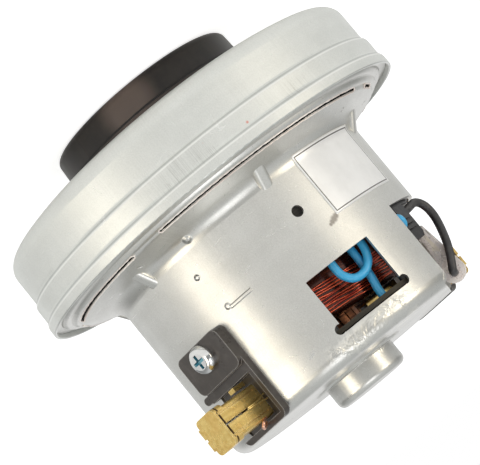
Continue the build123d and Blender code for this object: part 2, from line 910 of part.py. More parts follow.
with BuildPart() as commutator_bars:
    with BuildSketch(Plane.XZ):
        bar_foot = commutator_hub_radius + seat_gap
        ring_face(bar_foot, commutator_radius, commutator_front, commutator_rear)
        ring_face(bar_foot, riser_radius, commutator_front, commutator_front + riser_height)
    revolve(axis=Axis.Z)
    with BuildSketch(Plane.XY.offset(commutator_front)):
        with PolarLocations(riser_radius / 2, armature_slot_count):
            Rectangle(riser_radius + overrun, commutator_slot_width)
    extrude(amount=commutator_length, mode=Mode.SUBTRACT)
commutator_bars.part.label = "commutator_bars"
export_step(commutator_bars.part, "parts/commutator_bars.step")

# Stator core: two poles, and a pocket for the coils on each side of them
with BuildPart() as stator_core:
    with BuildSketch(Plane.XY.offset(core_front)):
        Circle(core_radius)
        Rectangle(2 * core_radius, 2 * core_flat, mode=Mode.INTERSECT)
        with BuildSketch(Plane.XY.offset(core_front), mode=Mode.PRIVATE) as pockets:
            Circle(pocket_outer_radius)
            Rectangle(2 * pocket_outer_radius, 2 * pocket_half_width, mode=Mode.INTERSECT)
            Circle(pocket_inner, mode=Mode.SUBTRACT)
            Rectangle(2 * pocket_inner, 2 * pocket_throat)
        add(pockets.sketch, mode=Mode.SUBTRACT)
        Circle(stator_bore_radius, mode=Mode.SUBTRACT)
    extrude(amount=core_length)
stator_core.part.label = "stator_core"
export_step(stator_core.part, "parts/stator_core.step")

# Coil insulators: a plate on each end of the core and a wall inside each coil head
insulator_outer = core_radius - insulator_edge
wall_outer = coil_inner_radius - seat_gap
wall_inner = wall_outer - insulator_wall
for place, plate_start, wall_height, direction in (
    ("rear", core_rear, insulator_rear_wall, 1),
    ("front", plate_front, insulator_front_wall, -1),
):
    wall_start = plate_start + insulator_thickness if direction > 0 else plate_start
    with BuildPart() as insulator:
        with BuildSketch(Plane.XY.offset(plate_start)):
            Circle(insulator_outer)
            Circle(wall_inner, mode=Mode.SUBTRACT)
            with BuildSketch(Plane.XY.offset(plate_start), mode=Mode.PRIVATE) as coil_ports:
                Circle(pocket_outer_radius)
                Rectangle(2 * pocket_outer_radius, 2 * pocket_half_width, mode=Mode.INTERSECT)
            add(coil_ports.sketch, mode=Mode.SUBTRACT)
        extrude(amount=insulator_thickness)
        with BuildSketch(Plane.XY.offset(wall_start)):
            for pole in (90, -90):
                wall_start_angle = pole - insulator_wall_half_angle
                add(sector(wall_inner, wall_outer, wall_start_angle, 2 * insulator_wall_half_angle))
        extrude(amount=direction * wall_height)
        if place == "rear":
            # Posts that carry the insulating ring
            with BuildSketch(Plane.XY.offset(wall_start)):
                with Locations([polar(post_circle, angle, 0)[:2] for angle in post_angles]):
                    Circle(post_radius)
            extrude(amount=ring_height - wall_start)
    insulator.part.label = "stator_" + place + "_insulator"
    export_step(insulator.part, "parts/stator_" + place + "_insulator.step")

# Field coils: a saddle round each pole, its rear head crowned towards the pole
coil_side_end = coil_side_start + coil_side_span


def crown_fall(angle):
    """How far the crown lies below its highest point, at an angle from its pole."""
    return coil_crown_share * coil_outer_radius * (1 - cos(radians(angle)))


def crown_plane(pole):
    """The sloping plane that tops a coil's rear head and is highest over its pole."""
    slope = Vector(*polar(coil_crown_share, pole, 0))
    return Plane(origin=polar(coil_outer_radius, pole, coil_rear), z_dir=Vector(0, 0, 1) - slope)


for side, pole in (("a", -90), ("b", 90)):
    with BuildPart() as field_coil:
        head_start = pole - 90 + coil_side_start
        head_span = 180 - 2 * coil_side_start
        with BuildSketch(Plane.XY.offset(coil_rear - coil_rear_height)):
            add(sector(coil_inner_radius, coil_outer_radius, head_start, head_span))
        extrude(amount=coil_rear_height)
        split(bisect_by=crown_plane(pole), keep=Keep.BOTTOM)
        fillet(field_coil.edges().filter_by(GeomType.ELLIPSE), radius=coil_edge_round)
        with BuildSketch(Plane.XY.offset(coil_front)):
            add(sector(coil_inner_radius, coil_outer_radius, head_start, head_span))
        extrude(amount=coil_front_height)
        ends = field_coil.edges().filter_by(GeomType.CIRCLE)
        fillet(ends.group_by(Axis.Z)[0], radius=coil_edge_round)
        with BuildSketch(Plane.XY.offset(coil_front + coil_front_height)):
            for side_start in (head_start, pole + 90 - coil_side_end):
                add(sector(coil_inner_radius, coil_outer_radius, side_start, coil_side_span))
        extrude(amount=coil_rear - coil_rear_height - coil_front - coil_front_height)
    field_coil.part.label = "field_coil_" + side
    export_step(field_coil.part, "parts/field_coil_" + side + ".step")


def corner_joint(start, start_way, end, end_way):
    """The point where two arcs meet that leave one point and reach another smoothly."""
    gap = end - start
    ways = start_way + end_way
    square = ways.dot(ways) - 4
    half = gap.dot(ways)
    reach = (half - sqrt(half * half - square * gap.dot(gap))) / square
    return (start + start_way * reach + end - end_way * reach) / 2


def corner(start, start_way, end, end_way):
    """A quarter turn of the wire, made of two arcs with one tangent where they meet."""
    joint = corner_joint(start, start_way, end, end_way)
    first = TangentArc(start, joint, tangent=start_way)
    TangentArc(joint, end, tangent=first % 1)


# Outer layer of each coil: one wire that winds outward round the pole
turn_circle = coil_outer_radius + turn_seat_gap + turn_wire_radius
turn_pitch = 2 * turn_wire_radius + turn_self_gap
pitch_angle = degrees(turn_pitch / turn_circle)
corner_angle = degrees(turn_corner_radius / turn_circle)
first_rear = coil_rear - coil_rear_height + turn_first_rise + crown_fall(turn_first_half_angle)
first_front = coil_front + coil_front_height - turn_first_rise
up = Vector(0, 0, 1)


def along(angle):
    """The way round the shaft at an angle, towards growing angles."""
    return Vector(-sin(radians(angle)), cos(radians(angle)), 0)


def on_turns(angle, height):
    """A point of the outer layer, on its cylinder."""
    return Vector(*polar(turn_circle, angle, height))


for side, pole in (("a", -90), ("b", 90)):
    with BuildPart() as coil_turns:
        with BuildLine() as wire:
            left = pole - turn_first_half_angle
            middle_height = (first_rear + first_front) / 2
            start = on_turns(left, middle_height)
            for number in range(turn_count):
                left = pole - turn_first_half_angle - number * pitch_angle
                right = pole + turn_first_half_angle + number * pitch_angle
                next_left = left - pitch_angle
                rear_height = first_rear + number * turn_pitch
                corner_fall = crown_fall(right - corner_angle - pole)
                side_height = rear_height - corner_fall - turn_corner_radius
                front_height = first_front - number * turn_pitch
                side_rear = on_turns(left, side_height)
                Line(start, side_rear)
                arc_start = on_turns(left + corner_angle, rear_height - corner_fall)
                arc_end = on_turns(right - corner_angle, rear_height - corner_fall)
                crown = ThreePointArc(arc_start, on_turns(pole, rear_height), arc_end, mode=Mode.PRIVATE)
                corner(side_rear, up, arc_start, crown % 0)
                add(crown)
                down_start = on_turns(right, side_height)
                corner(arc_end, crown % 1, down_start, -up)
                down_end = on_turns(right, front_height + turn_corner_radius)
                Line(down_start, down_end)
                back_start = on_turns(right - corner_angle, front_height)
                corner(down_end, -up, back_start, -along(right - corner_angle))
                back_end = on_turns(next_left + corner_angle, front_height)
                ThreePointArc(back_start, on_turns(pole, front_height), back_end)
                start = on_turns(next_left, front_height + turn_corner_radius)
                corner(back_end, -along(next_left + corner_angle), start, up)
            Line(start, on_turns(next_left, middle_height))
        with BuildSketch(Plane(origin=wire.line @ 0, z_dir=wire.line % 0)):
            Circle(turn_wire_radius)
        sweep()
    wire_length = sum(edge.length for edge in wire.edges())
    wire_volume = wire_length * pi * turn_wire_radius**2
    print("outer turns", side, "volume over section times length:", coil_turns.part.volume / wire_volume)
    coil_turns.part.label = "field_coil_" + side + "_turns"
    export_step(coil_turns.part, "parts/field_coil_" + side + "_turns.step")

# Least gap of the outer layer to itself, measured on points along the wire
spots = []
for edge in wire.edges():
    steps = max(int(edge.length / turn_pitch), 1)
    spots += [edge @ (step / steps) for step in range(steps)]
run_lengths = [0]
for before, after in zip(spots, spots[1:]):
    run_lengths.append(run_lengths[-1] + (after - before).length)
least = min(
    (spots[first] - spots[second]).length
    for first in range(len(spots))
    for second in range(first)
    if run_lengths[first] - run_lengths[second] > turn_corner_radius * pi
)
print("outer turns, least gap between wires:", least - 2 * turn_wire_radius)

# Brush gear, once on each side
brush_start = commutator_radius + running_gap
brush_end = brush_start + brush_length
for side, turn in (("a", 0), ("b", 180)):
    # Carbon brush, hollowed to fit the commutator
    with BuildPart() as carbon_brush:
        with BuildSketch(facing(turn, 0, brush_height)):
            Rectangle(brush_width, brush_depth)
        extrude(amount=brush_end)
        with BuildSketch(Plane.XY.offset(brush_height - brush_depth)):
            Circle(brush_start)
        extrude(amount=2 * brush_depth, mode=Mode.SUBTRACT)
    carbon_brush.part.label = "carbon_brush_" + side
    export_step(carbon_brush.part, "parts/carbon_brush_" + side + ".step")

    # Brush tube of folded brass, with its seam on the fan's turning side
    seam_way = -1
    with BuildPart() as brush_tube:
        with BuildSketch(facing(turn, tube_start, brush_height)):
            RectangleRounded(tube_width, tube_height, tube_round)
            Rectangle(
                brush_width + 2 * brush_clearance,
                brush_depth + 2 * brush_clearance,
                mode=Mode.SUBTRACT,
            )
        extrude(amount=tube_end - tube_start)
        # The lapped strip stands proud between two grooves, and the seam parts it
        with BuildSketch(facing(turn, tube_fold_start, brush_height)):
            with Locations((seam_way * (tube_width + tube_fold_rise) / 2, 0)):
                Rectangle(tube_fold_rise, tube_height - 2 * tube_fold_side)
        extrude(amount=tube_end - tube_fold_end_gap - tube_fold_start)
        with BuildSketch(facing(turn, tube_fold_start, brush_height)):
            for way in (-1, 1):
                groove_middle = tube_height / 2 - tube_fold_side + tube_groove_width / 2
                with Locations((seam_way * tube_width / 2, way * groove_middle)):
                    Rectangle(2 * tube_groove_depth, tube_groove_width)
        extrude(amount=tube_end, mode=Mode.SUBTRACT)
        with BuildSketch(facing(turn, tube_end - tube_seam_length, brush_height)):
            with Locations((seam_way * tube_width / 2, 0)):
                Rectangle(2 * tube_wall + overrun, tube_seam_width)
        extrude(amount=tube_seam_length + overrun, mode=Mode.SUBTRACT)
    brush_tube.part.label = "brush_tube_" + side
    export_step(brush_tube.part, "parts/brush_tube_" + side + ".step")

    # Cap that closes the tube and holds the spring
    cap_inner_width = tube_width + 2 * seat_gap
    cap_inner_height = tube_height + 2 * seat_gap
    with BuildPart() as brush_cap:
        with BuildSketch(facing(turn, tube_end - cap_skirt, brush_height)):
            RectangleRounded(
                cap_inner_width + 2 * cap_thickness,
                cap_inner_height + 2 * cap_thickness,
                tube_round + cap_thickness,
            )
        extrude(amount=cap_skirt + seat_gap + cap_thickness)
        with BuildSketch(facing(turn, tube_end - cap_skirt, brush_height)):
            RectangleRounded(cap_inner_width, cap_inner_height, tube_round)
        extrude(amount=cap_skirt + seat_gap, mode=Mode.SUBTRACT)
        # Its skirt is open over the lapped strip, and two lugs are bent out opposite
        with BuildSketch(facing(turn, tube_end - cap_skirt, brush_height)):
            with Locations((seam_way * (cap_inner_width / 2 + cap_thickness), 0)):
                Rectangle(2 * cap_thickness + seat_gap, tube_height - 2 * tube_round)
        extrude(amount=cap_skirt + seat_gap, mode=Mode.SUBTRACT)
        with BuildSketch(facing(turn, tube_end + seat_gap + cap_thickness - cap_lug_depth, brush_height)):
            for way in (-1, 1):
                lug_side = cap_inner_width / 2 + cap_thickness + cap_lug_thickness / 2
                with Locations((-seam_way * lug_side, way * (cap_lug_length + cap_lug_gap) / 2)):
                    Rectangle(cap_lug_thickness, cap_lug_length)
        extrude(amount=cap_lug_depth)
    brush_cap.part.label = "brush_cap_" + side
    export_step(brush_cap.part, "parts/brush_cap_" + side + ".step")

    # Spring between brush and cap, as the sleeve of space that its wire takes
    with BuildPart() as brush_spring:
        with BuildSketch(facing(turn, brush_end + spring_gap, brush_height)):
            Circle(spring_radius)
            Circle(spring_radius - spring_wall, mode=Mode.SUBTRACT)
        extrude(amount=tube_end + seat_gap - 2 * spring_gap - brush_end)
    brush_spring.part.label = "brush_spring_" + side
    export_step(brush_spring.part, "parts/brush_spring_" + side + ".step")

    # Moulded holder: a lug for the screw, a rimmed recess, and a neck round the tube
    lug_middle = holder_front + holder_lug_length / 2
    lug_face = holder_face + holder_lug_rise
    with BuildPart() as brush_holder:
        with BuildSketch(facing(turn, holder_block_start, holder_middle)):
            RectangleRounded(holder_width, holder_rear - holder_front, holder_corner)
        extrude(amount=holder_face - holder_block_start)
        with BuildSketch(facing(turn, holder_block_start, lug_middle)):
            RectangleRounded(holder_width, holder_lug_length, holder_corner)
        extrude(amount=lug_face - holder_block_start)
        # An ear at the open side
        with BuildSketch(facing(turn, holder_block_start, holder_front + holder_lug_length)):
            with Locations((holder_width / 2, holder_lug_gap / 2)):
                SlotOverall(ear_length + ear_width, ear_width)
        extrude(amount=holder_face - holder_block_start)
        # Its underside follows the housing
        with BuildSketch(Plane.XY.offset(holder_front - overrun)):
            Circle(housing_radius + seat_gap)
        extrude(amount=holder_rear - holder_front + 2 * overrun, mode=Mode.SUBTRACT)
        with BuildSketch(facing(turn, holder_block_start, recess_middle)):
            Rectangle(recess_width, recess_rear - recess_front)
        extrude(amount=holder_face - holder_block_start)
        with BuildSketch(facing(turn, holder_neck_start, brush_height)):
            Rectangle(holder_neck_width, holder_neck_height)
        extrude(amount=holder_block_start - holder_neck_start)
        # The recess is open on the far side from the seam
        with BuildSketch(facing(turn, holder_face - holder_floor_depth, recess_middle)):
            with Locations((holder_rim / 2, 0)):
                Rectangle(recess_width + holder_rim, recess_rear - recess_front - 2 * holder_clearance)
        extrude(amount=holder_floor_depth + holder_lug_rise + overrun, mode=Mode.SUBTRACT)
        with BuildSketch(facing(turn, holder_neck_start - overrun, brush_height)):
            RectangleRounded(tube_width + 2 * seat_gap, tube_height + 2 * seat_gap, tube_round)
        extrude(amount=holder_face, mode=Mode.SUBTRACT)
        with BuildSketch(facing(turn, holder_block_start, screw_height)):
            Circle(screw_radius + seat_gap)
        extrude(amount=lug_face, mode=Mode.SUBTRACT)
        with BuildSketch(facing(turn, holder_face - holder_floor_depth - contact_foot, contact_height)):
            Rectangle(contact_width + 2 * seat_gap, contact_thickness + 2 * seat_gap)
        extrude(amount=contact_foot, mode=Mode.SUBTRACT)
    brush_holder.part.label = "brush_holder_" + side
    export_step(brush_holder.part, "parts/brush_holder_" + side + ".step")

    # Brass contact beside the tube
    with BuildPart() as brush_contact:
        with BuildSketch(facing(turn, holder_face - holder_floor_depth - contact_foot, contact_height)):
            Rectangle(contact_width, contact_thickness)
        extrude(amount=contact_foot + contact_reach)
    brush_contact.part.label = "brush_contact_" + side
    export_step(brush_contact.part, "parts/brush_contact_" + side + ".step")

# Holder screws: domed heads with a cross recess
with BuildPart() as holder_screws:
    screw_tip = core_radius + screw_tip_gap
    for turn in (0, 180):
        with BuildSketch(facing(turn, screw_tip, screw_height)):
            Circle(screw_radius - bearing_fit)
        extrude(amount=lug_face - screw_tip)
        with BuildSketch(facing(turn, lug_face, screw_height)):
            Circle(screw_head_radius)
        head = extrude(amount=screw_head_height)
        way = Axis((0, 0, screw_height), facing(turn, 0, screw_height).z_dir)
        fillet(head.edges().filter_by(GeomType.CIRCLE).sort_by(way)[-1], radius=screw_head_round)
        with BuildSketch(facing(turn, lug_face + screw_head_height - cross_recess_depth, screw_height)):
            Rectangle(cross_recess_length, cross_recess_width)
            Rectangle(cross_recess_width, cross_recess_length)
        extrude(amount=cross_recess_depth + overrun, mode=Mode.SUBTRACT)
holder_screws.part.label = "brush_holder_screws"
export_step(holder_screws.part, "parts/brush_holder_screws.step")

# Insulating ring on the insulator's posts, open at the brush holders and the terminal
ring_outer = housing_radius - housing_sheet - ring_edge_gap
with BuildPart() as insulating_ring:
    with BuildSketch(Plane.XY.offset(ring_height)):
        Circle(ring_outer)
        Circle(ring_inner_radius, mode=Mode.SUBTRACT)
        Rectangle(2 * housing_radius, recess_width + 2 * holder_clearance, mode=Mode.SUBTRACT)
        ring_gap_span = 180 + notch_angle + notch_half_angle
        add(
            sector(ring_inner_radius - overrun, ring_outer + overrun, -180, ring_gap_span),
            mode=Mode.SUBTRACT,
        )
    extrude(amount=ring_thickness)
insulating_ring.part.label = "insulating_ring"
export_step(insulating_ring.part, "parts/insulating_ring.step")

# Lead block on the rear insulator
block_plane = facing(block_angle, block_inner_radius, plate_rear)
with BuildPart() as lead_block:
    with BuildSketch(block_plane):
        Rectangle(block_width, block_height, align=(Align.CENTER, Align.MIN))
    extrude(amount=block_outer_radius - block_inner_radius)
    chamfer(
        lead_block.edges().filter_by(Axis(block_plane.origin, block_plane.z_dir)).group_by(Axis.Z)[-1],
        length=block_chamfer,
    )
    # A raised step at its foot, with ribs above it, flush with the side away from the lead
    with BuildSketch(facing(block_angle, block_outer_radius, plate_rear)):
        with Locations((block_width / 2, 0)):
            Rectangle(block_step_width, block_step_height, align=(Align.MAX, Align.MIN))
        for number in range(block_rib_count):
            rib_foot = block_step_height + block_rib_gap + number * (block_rib_width + block_rib_gap)
            with Locations((block_width / 2, rib_foot)):
                Rectangle(block_step_width, block_rib_width, align=(Align.MAX, Align.MIN))
    extrude(amount=block_step_rise)
lead_block.part.label = "lead_block"
export_step(lead_block.part, "parts/lead_block.step")

# Flat terminal and the sleeve over it
terminal_plane = facing(sleeve_angle, 0, 0)
terminal_face = Plane(terminal_plane.origin, x_dir=terminal_plane.z_dir, z_dir=-terminal_plane.x_dir)
with BuildPart() as supply_terminal:
    with BuildSketch(terminal_face):
        with Locations((sleeve_mouth_radius, plate_rear + terminal_length / 2)):
            Rectangle(terminal_width, terminal_length)
    extrude(amount=terminal_thickness / 2, both=True)
supply_terminal.part.label = "supply_terminal"
export_step(supply_terminal.part, "parts/supply_terminal.step")

with BuildPart() as terminal_sleeve:
    with BuildSketch(terminal_face) as sleeve_outline:
        with Locations((sleeve_mouth_radius, sleeve_front)):
            Rectangle(sleeve_mouth_width, sleeve_mouth_length, align=(Align.CENTER, Align.MIN))
        with Locations((sleeve_eye_radius, sleeve_rear - sleeve_end_radius)):
            Circle(sleeve_end_radius)
        make_hull()
    extrude(amount=sleeve_thickness / 2, both=True)
    mouth = terminal_sleeve.faces().sort_by(Axis.Z)[0]
    offset(amount=-sleeve_wall, openings=mouth)
terminal_sleeve.part.label = "terminal_sleeve"
export_step(terminal_sleeve.part, "parts/terminal_sleeve.step")

# Leads that the motor holds along their whole way
sleeve_across = terminal_plane.z_dir
sleeve_aside = terminal_plane.x_dir
block_way = -block_plane.x_dir
lead_start = (
    Vector(*polar(block_outer_radius - lead_radius, block_angle, plate_rear + black_lead_start))
    + block_way * (block_width / 2 + seat_gap)
)
black_points = [lead_start]
for outward, sideways, height in black_lead_route:
    black_points.append(sleeve_across * outward + sleeve_aside * sideways + Vector(0, 0, plate_rear + height))
outward = black_lead_route[-1][0]
lead_end = sleeve_across * outward + sleeve_aside * (sleeve_thickness / 2 + seat_gap)
black_points.append(lead_end + Vector(0, 0, plate_rear + black_lead_route[-1][2]))
lead_points = {"supply_lead": black_points}
for side, route in blue_lead_routes.items():
    route_points = [Vector(*polar(radius, angle, plate_rear + height)) for radius, angle, height in route]
    lead_points["blue_lead_" + side] = route_points
for name, points in lead_points.items():
    radii = lead_radii(points)
    with BuildPart() as lead:
        with BuildLine() as path:
            FilletPolyline(*points, radius=radii)
        with BuildSketch(Plane(origin=path.line @ 0, z_dir=path.line % 0)):
            Circle(lead_radius)
        sweep()
    path_length = sum(edge.length for edge in path.edges())
    print(
        name,
        "length",
        round(path_length, 1),
        "bends",
        [round(radius, 1) for radius in radii],
        "volume share",
        round(lead.part.volume / (path_length * pi * lead_radius**2), 4),
    )
    lead.part.label = name
    export_step(lead.part, "parts/" + name + ".step")
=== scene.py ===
# %% [markdown]
# A vacuum motor unit, dressed for its portrait. The steel, the plastic and the shaft
# come from the frame as finished solids. This lesson gives every surface its finish and
# adds the small things that are too fine for the solids: the blank paper label, the
# strands of the windings, the folds of the brass and the marks of the press.

# %% The frame
import bpy
import bmesh
import json
import math
import random
from mathutils import Matrix, Vector

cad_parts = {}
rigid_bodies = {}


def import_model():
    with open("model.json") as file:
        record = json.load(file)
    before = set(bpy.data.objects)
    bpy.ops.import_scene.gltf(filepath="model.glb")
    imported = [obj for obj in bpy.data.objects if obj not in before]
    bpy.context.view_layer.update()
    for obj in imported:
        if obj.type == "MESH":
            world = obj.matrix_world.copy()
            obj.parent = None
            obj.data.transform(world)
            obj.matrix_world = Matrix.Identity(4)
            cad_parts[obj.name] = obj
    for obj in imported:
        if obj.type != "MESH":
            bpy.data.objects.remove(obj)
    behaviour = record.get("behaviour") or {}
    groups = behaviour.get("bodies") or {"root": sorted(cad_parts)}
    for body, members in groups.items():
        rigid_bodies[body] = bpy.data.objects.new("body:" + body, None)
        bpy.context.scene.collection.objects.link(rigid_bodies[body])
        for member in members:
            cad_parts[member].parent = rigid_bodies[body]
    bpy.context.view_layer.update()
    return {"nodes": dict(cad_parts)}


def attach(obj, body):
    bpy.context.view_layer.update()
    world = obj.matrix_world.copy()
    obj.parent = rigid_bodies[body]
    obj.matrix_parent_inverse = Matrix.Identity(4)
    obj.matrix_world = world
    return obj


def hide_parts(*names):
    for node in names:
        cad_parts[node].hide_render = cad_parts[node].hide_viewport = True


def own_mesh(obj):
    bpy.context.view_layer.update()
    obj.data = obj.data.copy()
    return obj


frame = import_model()
nodes = frame["nodes"]

MM = 0.001
scene = bpy.context.scene

# %% [markdown]
# The camera stands where it stood for the photograph. The circles of the cover, the
# housing and the boss fix its place: 46 degrees round the shaft, 7 degrees above the
# horizon, about 0.73 m away with a long lens, and rolled so that the shaft points down
# to the right. A constraint could aim it too, but one matrix worked out from these
# angles stays the same whatever moves.

# %% Camera
view_turn = math.radians(46.0)
view_lift = 0.1200
view_roll = 2.4534
lens_mm = 177.6
sensor_mm = 36.0
camera_place = Vector((518.66, -497.81, 138.45)) * MM

turn = Matrix.Rotation(view_turn, 3, "Z")
view_right = turn @ Vector((1, 0, 0))
view_up = turn @ Vector((0, math.sin(view_lift), math.cos(view_lift)))
view_forward = turn @ Vector((0, math.cos(view_lift), -math.sin(view_lift)))
axis_x = view_right * math.cos(view_roll) + view_up * math.sin(view_roll)
axis_y = view_up * math.cos(view_roll) - view_right * math.sin(view_roll)
pose = Matrix((axis_x, axis_y, -view_forward)).transposed().to_4x4()
pose.translation = camera_place
camera_data = bpy.data.cameras.new("portrait_camera")
camera_data.lens = lens_mm
camera_data.sensor_width = sensor_mm
camera_data.clip_start = 0.05
camera_data.clip_end = 20.0
camera = bpy.data.objects.new("portrait_camera", camera_data)
camera.matrix_world = pose
scene.collection.objects.link(camera)
scene.camera = camera
print("camera at", tuple(round(v, 3) for v in camera_place))

# %% [markdown]
# A node tree can be linked node by node, but a finish then fills pages. Each of these
# helpers adds one node and links what it is given, so that a finish reads like a sum.

# %% Helpers for node trees
FLOAT, VECTOR = "NodeSocketFloat", "NodeSocketVector"


def set_or_link(tree, socket, value):
    """Gives an input a plain value, or a link when the value is another node's output."""
    if isinstance(value, bpy.types.NodeSocket):
        tree.links.new(value, socket)
    else:
        socket.default_value = value


def set_node(tree, made, **settings):
    """Sets a node. Each setting is an input by its name, or one of the node's properties."""
    for name, value in settings.items():
        label = name.replace("_", " ")
        match = [s for s in made.inputs if s.name.lower() == label]
        if match:
            set_or_link(tree, match[0], value)
        else:
            setattr(made, name, value)
    return made


def add_node(tree, kind, **settings):
    """Adds a node with its settings."""
    return set_node(tree, tree.nodes.new(kind), **settings)


def fill(tree, made, *values):
    """Gives a node's inputs, in their order, plain values or other nodes' outputs."""
    for socket, value in zip(made.inputs, values):
        set_or_link(tree, socket, value)
    return made


def maths(tree, operation, *values):
    """A Math node; each value is a number or another node's output."""
    return fill(tree, add_node(tree, "ShaderNodeMath", operation=operation), *values).outputs[0]


def plus(tree, a, b):
    """The sum of two values."""
    return maths(tree, "ADD", a, b)


def minus(tree, a, b):
    """The first value less the second."""
    return maths(tree, "SUBTRACT", a, b)


def times(tree, a, b):
    """The product of two values."""
    return maths(tree, "MULTIPLY", a, b)


def strongest(tree, masks):
    """The highest of several masks."""
    total = masks[0]
    for mask in masks[1:]:
        total = maths(tree, "MAXIMUM", total, mask)
    return total


def vector_maths(tree, operation, a, b):
    """A Vector Math node's vector, or its number for a dot product or a distance."""
    made = fill(tree, add_node(tree, "ShaderNodeVectorMath", operation=operation), a, b)
    return made.outputs["Value" if operation in ("DOT_PRODUCT", "DISTANCE") else "Vector"]


def join_xyz(tree, x, y, z):
    """A vector from three numbers or outputs."""
    return fill(tree, tree.nodes.new("ShaderNodeCombineXYZ"), x, y, z).outputs[0]


def split_xyz(tree, vector):
    """The three parts of a vector."""
    return add_node(tree, "ShaderNodeSeparateXYZ", vector=vector).outputs


def noise(tree, vector, scale, **settings):
    """Noise between zero and one, mostly near a half."""
    return add_node(tree, "ShaderNodeTexNoise", vector=vector, scale=scale, **settings).outputs["Fac"]


def band(tree, value, start, end, low=0.0, high=1.0):
    """A smooth step from low to high as the value goes from start to end."""
    made = add_node(tree, "ShaderNodeMapRange", interpolation_type="SMOOTHSTEP")
    return fill(tree, made, value, start, end, low, high).outputs[0]


def between(tree, value, low, high, soft):
    """One where the value lies from low to high, with soft edges."""
    return times(tree, band(tree, value, low - soft, low), band(tree, value, high + soft, high))


def new_group(name, inputs, outputs, kind="ShaderNodeTree"):
    """An empty node group: inputs are (name, socket kind, value), outputs (name, kind)."""
    group = bpy.data.node_groups.new(name, kind)
    for label, socket_kind, value in inputs:
        made = group.interface.new_socket(name=label, in_out="INPUT", socket_type=socket_kind)
        if value is not None:
            made.default_value = value
    for label, socket_kind in outputs:
        group.interface.new_socket(name=label, in_out="OUTPUT", socket_type=socket_kind)
    print("group:", name)
    return group, group.nodes.new("NodeGroupInput").outputs, group.nodes.new("NodeGroupOutput")


def use_group(tree, group, vector=None, **values):
    """Places a shared group with its own values, and gives its outputs."""
    if vector is not None:
        values["vector"] = vector
    made = add_node(tree, "ShaderNodeGroup", node_tree=group, **values)
    return made.outputs[0] if len(made.outputs) == 1 else made.outputs


# %% [markdown]
# The photograph was cut out on white. So the world and the floor show white to the
# camera and through clear pieces, while the light on the object stays at a plain level:
# a soft grey room, a broad warm lamp on either side and a wide one in front. A room that
# is white all round would be simpler, but steel shows its roundness by the dark bands
# that it mirrors. So metal sees white behind the motor, and the grey room elsewhere.

# %% Lamps
middle = Vector((0, 0, 60)) * MM


def lamp(name, place, size, power, colour=(1, 1, 1)):
    """A soft square lamp that looks at the middle of the motor."""
    data = bpy.data.lights.new(name, "AREA")
    data.size = size
    data.energy = power
    data.color = colour
    thing = bpy.data.objects.new(name, data)
    thing.location = place
    thing.rotation_mode = "QUATERNION"
    thing.rotation_quaternion = (middle - place).to_track_quat("-Z", "Y")
    scene.collection.objects.link(thing)


warm = (1.0, 0.9, 0.72)
lamp_distance = 0.9
for name, side_turn, lift, size, power in (
    ("left_softbox", math.radians(51), 0.1, 0.48, 2.25),
    ("right_softbox", math.radians(-59), 0.17, 0.38, 2.05),
):
    way = view_right * math.sin(side_turn) - view_forward * math.cos(side_turn) + view_up * lift
    lamp(name, middle + way * lamp_distance, size, power, warm)
lamp("front_softbox", middle - view_forward * 0.8 + view_up * 0.55, 0.6, 1.6)

# %% Room
world = bpy.data.worlds.new("studio")
scene.world = world
world.use_nodes = True
tree = world.node_tree
tree.nodes.clear()
outwards = tree.nodes.new("ShaderNodeTexCoord").outputs["Generated"]
# One behind the camera, minus one straight behind the motor.
towards = vector_maths(tree, "DOT_PRODUCT", outwards, -view_forward)
# The room is lighter on the camera's side than behind the motor, and lightest above.
wall_level = band(tree, towards, -0.75, 0.5, 0.27, 0.36)
ceiling_level = band(tree, split_xyz(tree, outwards)[2], 0.25, 0.8, 0.0, 0.32)
room_level = plus(tree, wall_level, ceiling_level)
grey = add_node(tree, "ShaderNodeBackground", color=(0.97, 1.0, 1.0, 1), strength=room_level)
white = add_node(tree, "ShaderNodeBackground", color=(1, 1, 1, 1), strength=1.0)
rays = tree.nodes.new("ShaderNodeLightPath").outputs
mirrored = times(tree, rays["Is Glossy Ray"], band(tree, towards, -0.6, -0.95))
seen_white = strongest(tree, [rays["Is Camera Ray"], rays["Is Transmission Ray"], mirrored])
mixed = fill(tree, tree.nodes.new("ShaderNodeMixShader"), seen_white, grey.outputs[0], white.outputs[0])
add_node(tree, "ShaderNodeOutputWorld", surface=mixed.outputs[0])
scene.view_settings.view_transform = "Standard"
print("room:", len(tree.nodes), "nodes")

# %% Floor
floor_reach, floor_height = 40.0, -0.4 * MM
corners = [(-floor_reach, -floor_reach), (floor_reach, -floor_reach)]
corners += [(floor_reach, floor_reach), (-floor_reach, floor_reach)]
floor_mesh = bpy.data.meshes.new("floor")
floor_mesh.from_pydata([(x, y, floor_height) for x, y in corners], [], [(0, 1, 2, 3)])
floor = bpy.data.objects.new("floor", floor_mesh)
scene.collection.objects.link(floor)
paper = bpy.data.materials.new("floor_paper")
paper.use_nodes = True
tree = paper.node_tree
tree.nodes.clear()
rays = tree.nodes.new("ShaderNodeLightPath").outputs
surface = add_node(tree, "ShaderNodeBsdfDiffuse", color=(0.86, 0.86, 0.86, 1)).outputs[0]
# The glow lifts the paper to white for the camera, and a little for what mirrors it.
for ray, strength in (("Is Camera Ray", 0.78), ("Is Glossy Ray", 0.25)):
    glow = add_node(tree, "ShaderNodeEmission", strength=times(tree, rays[ray], strength))
    surface = fill(tree, tree.nodes.new("ShaderNodeAddShader"), surface, glow.outputs[0]).outputs[0]
add_node(tree, "ShaderNodeOutputMaterial", surface=surface)
floor_mesh.materials.append(paper)
print("floor:", floor_reach * 2, "m across")

# %% [markdown]
# Most finishes here share the same few effects: a position told round the shaft, fine
# grain, long scratches, soft smudges, and an edge mask. Each is a node group with named
# sockets, built once. A group gives out masks and heights only, and the shader that
# uses them stays in its own material.

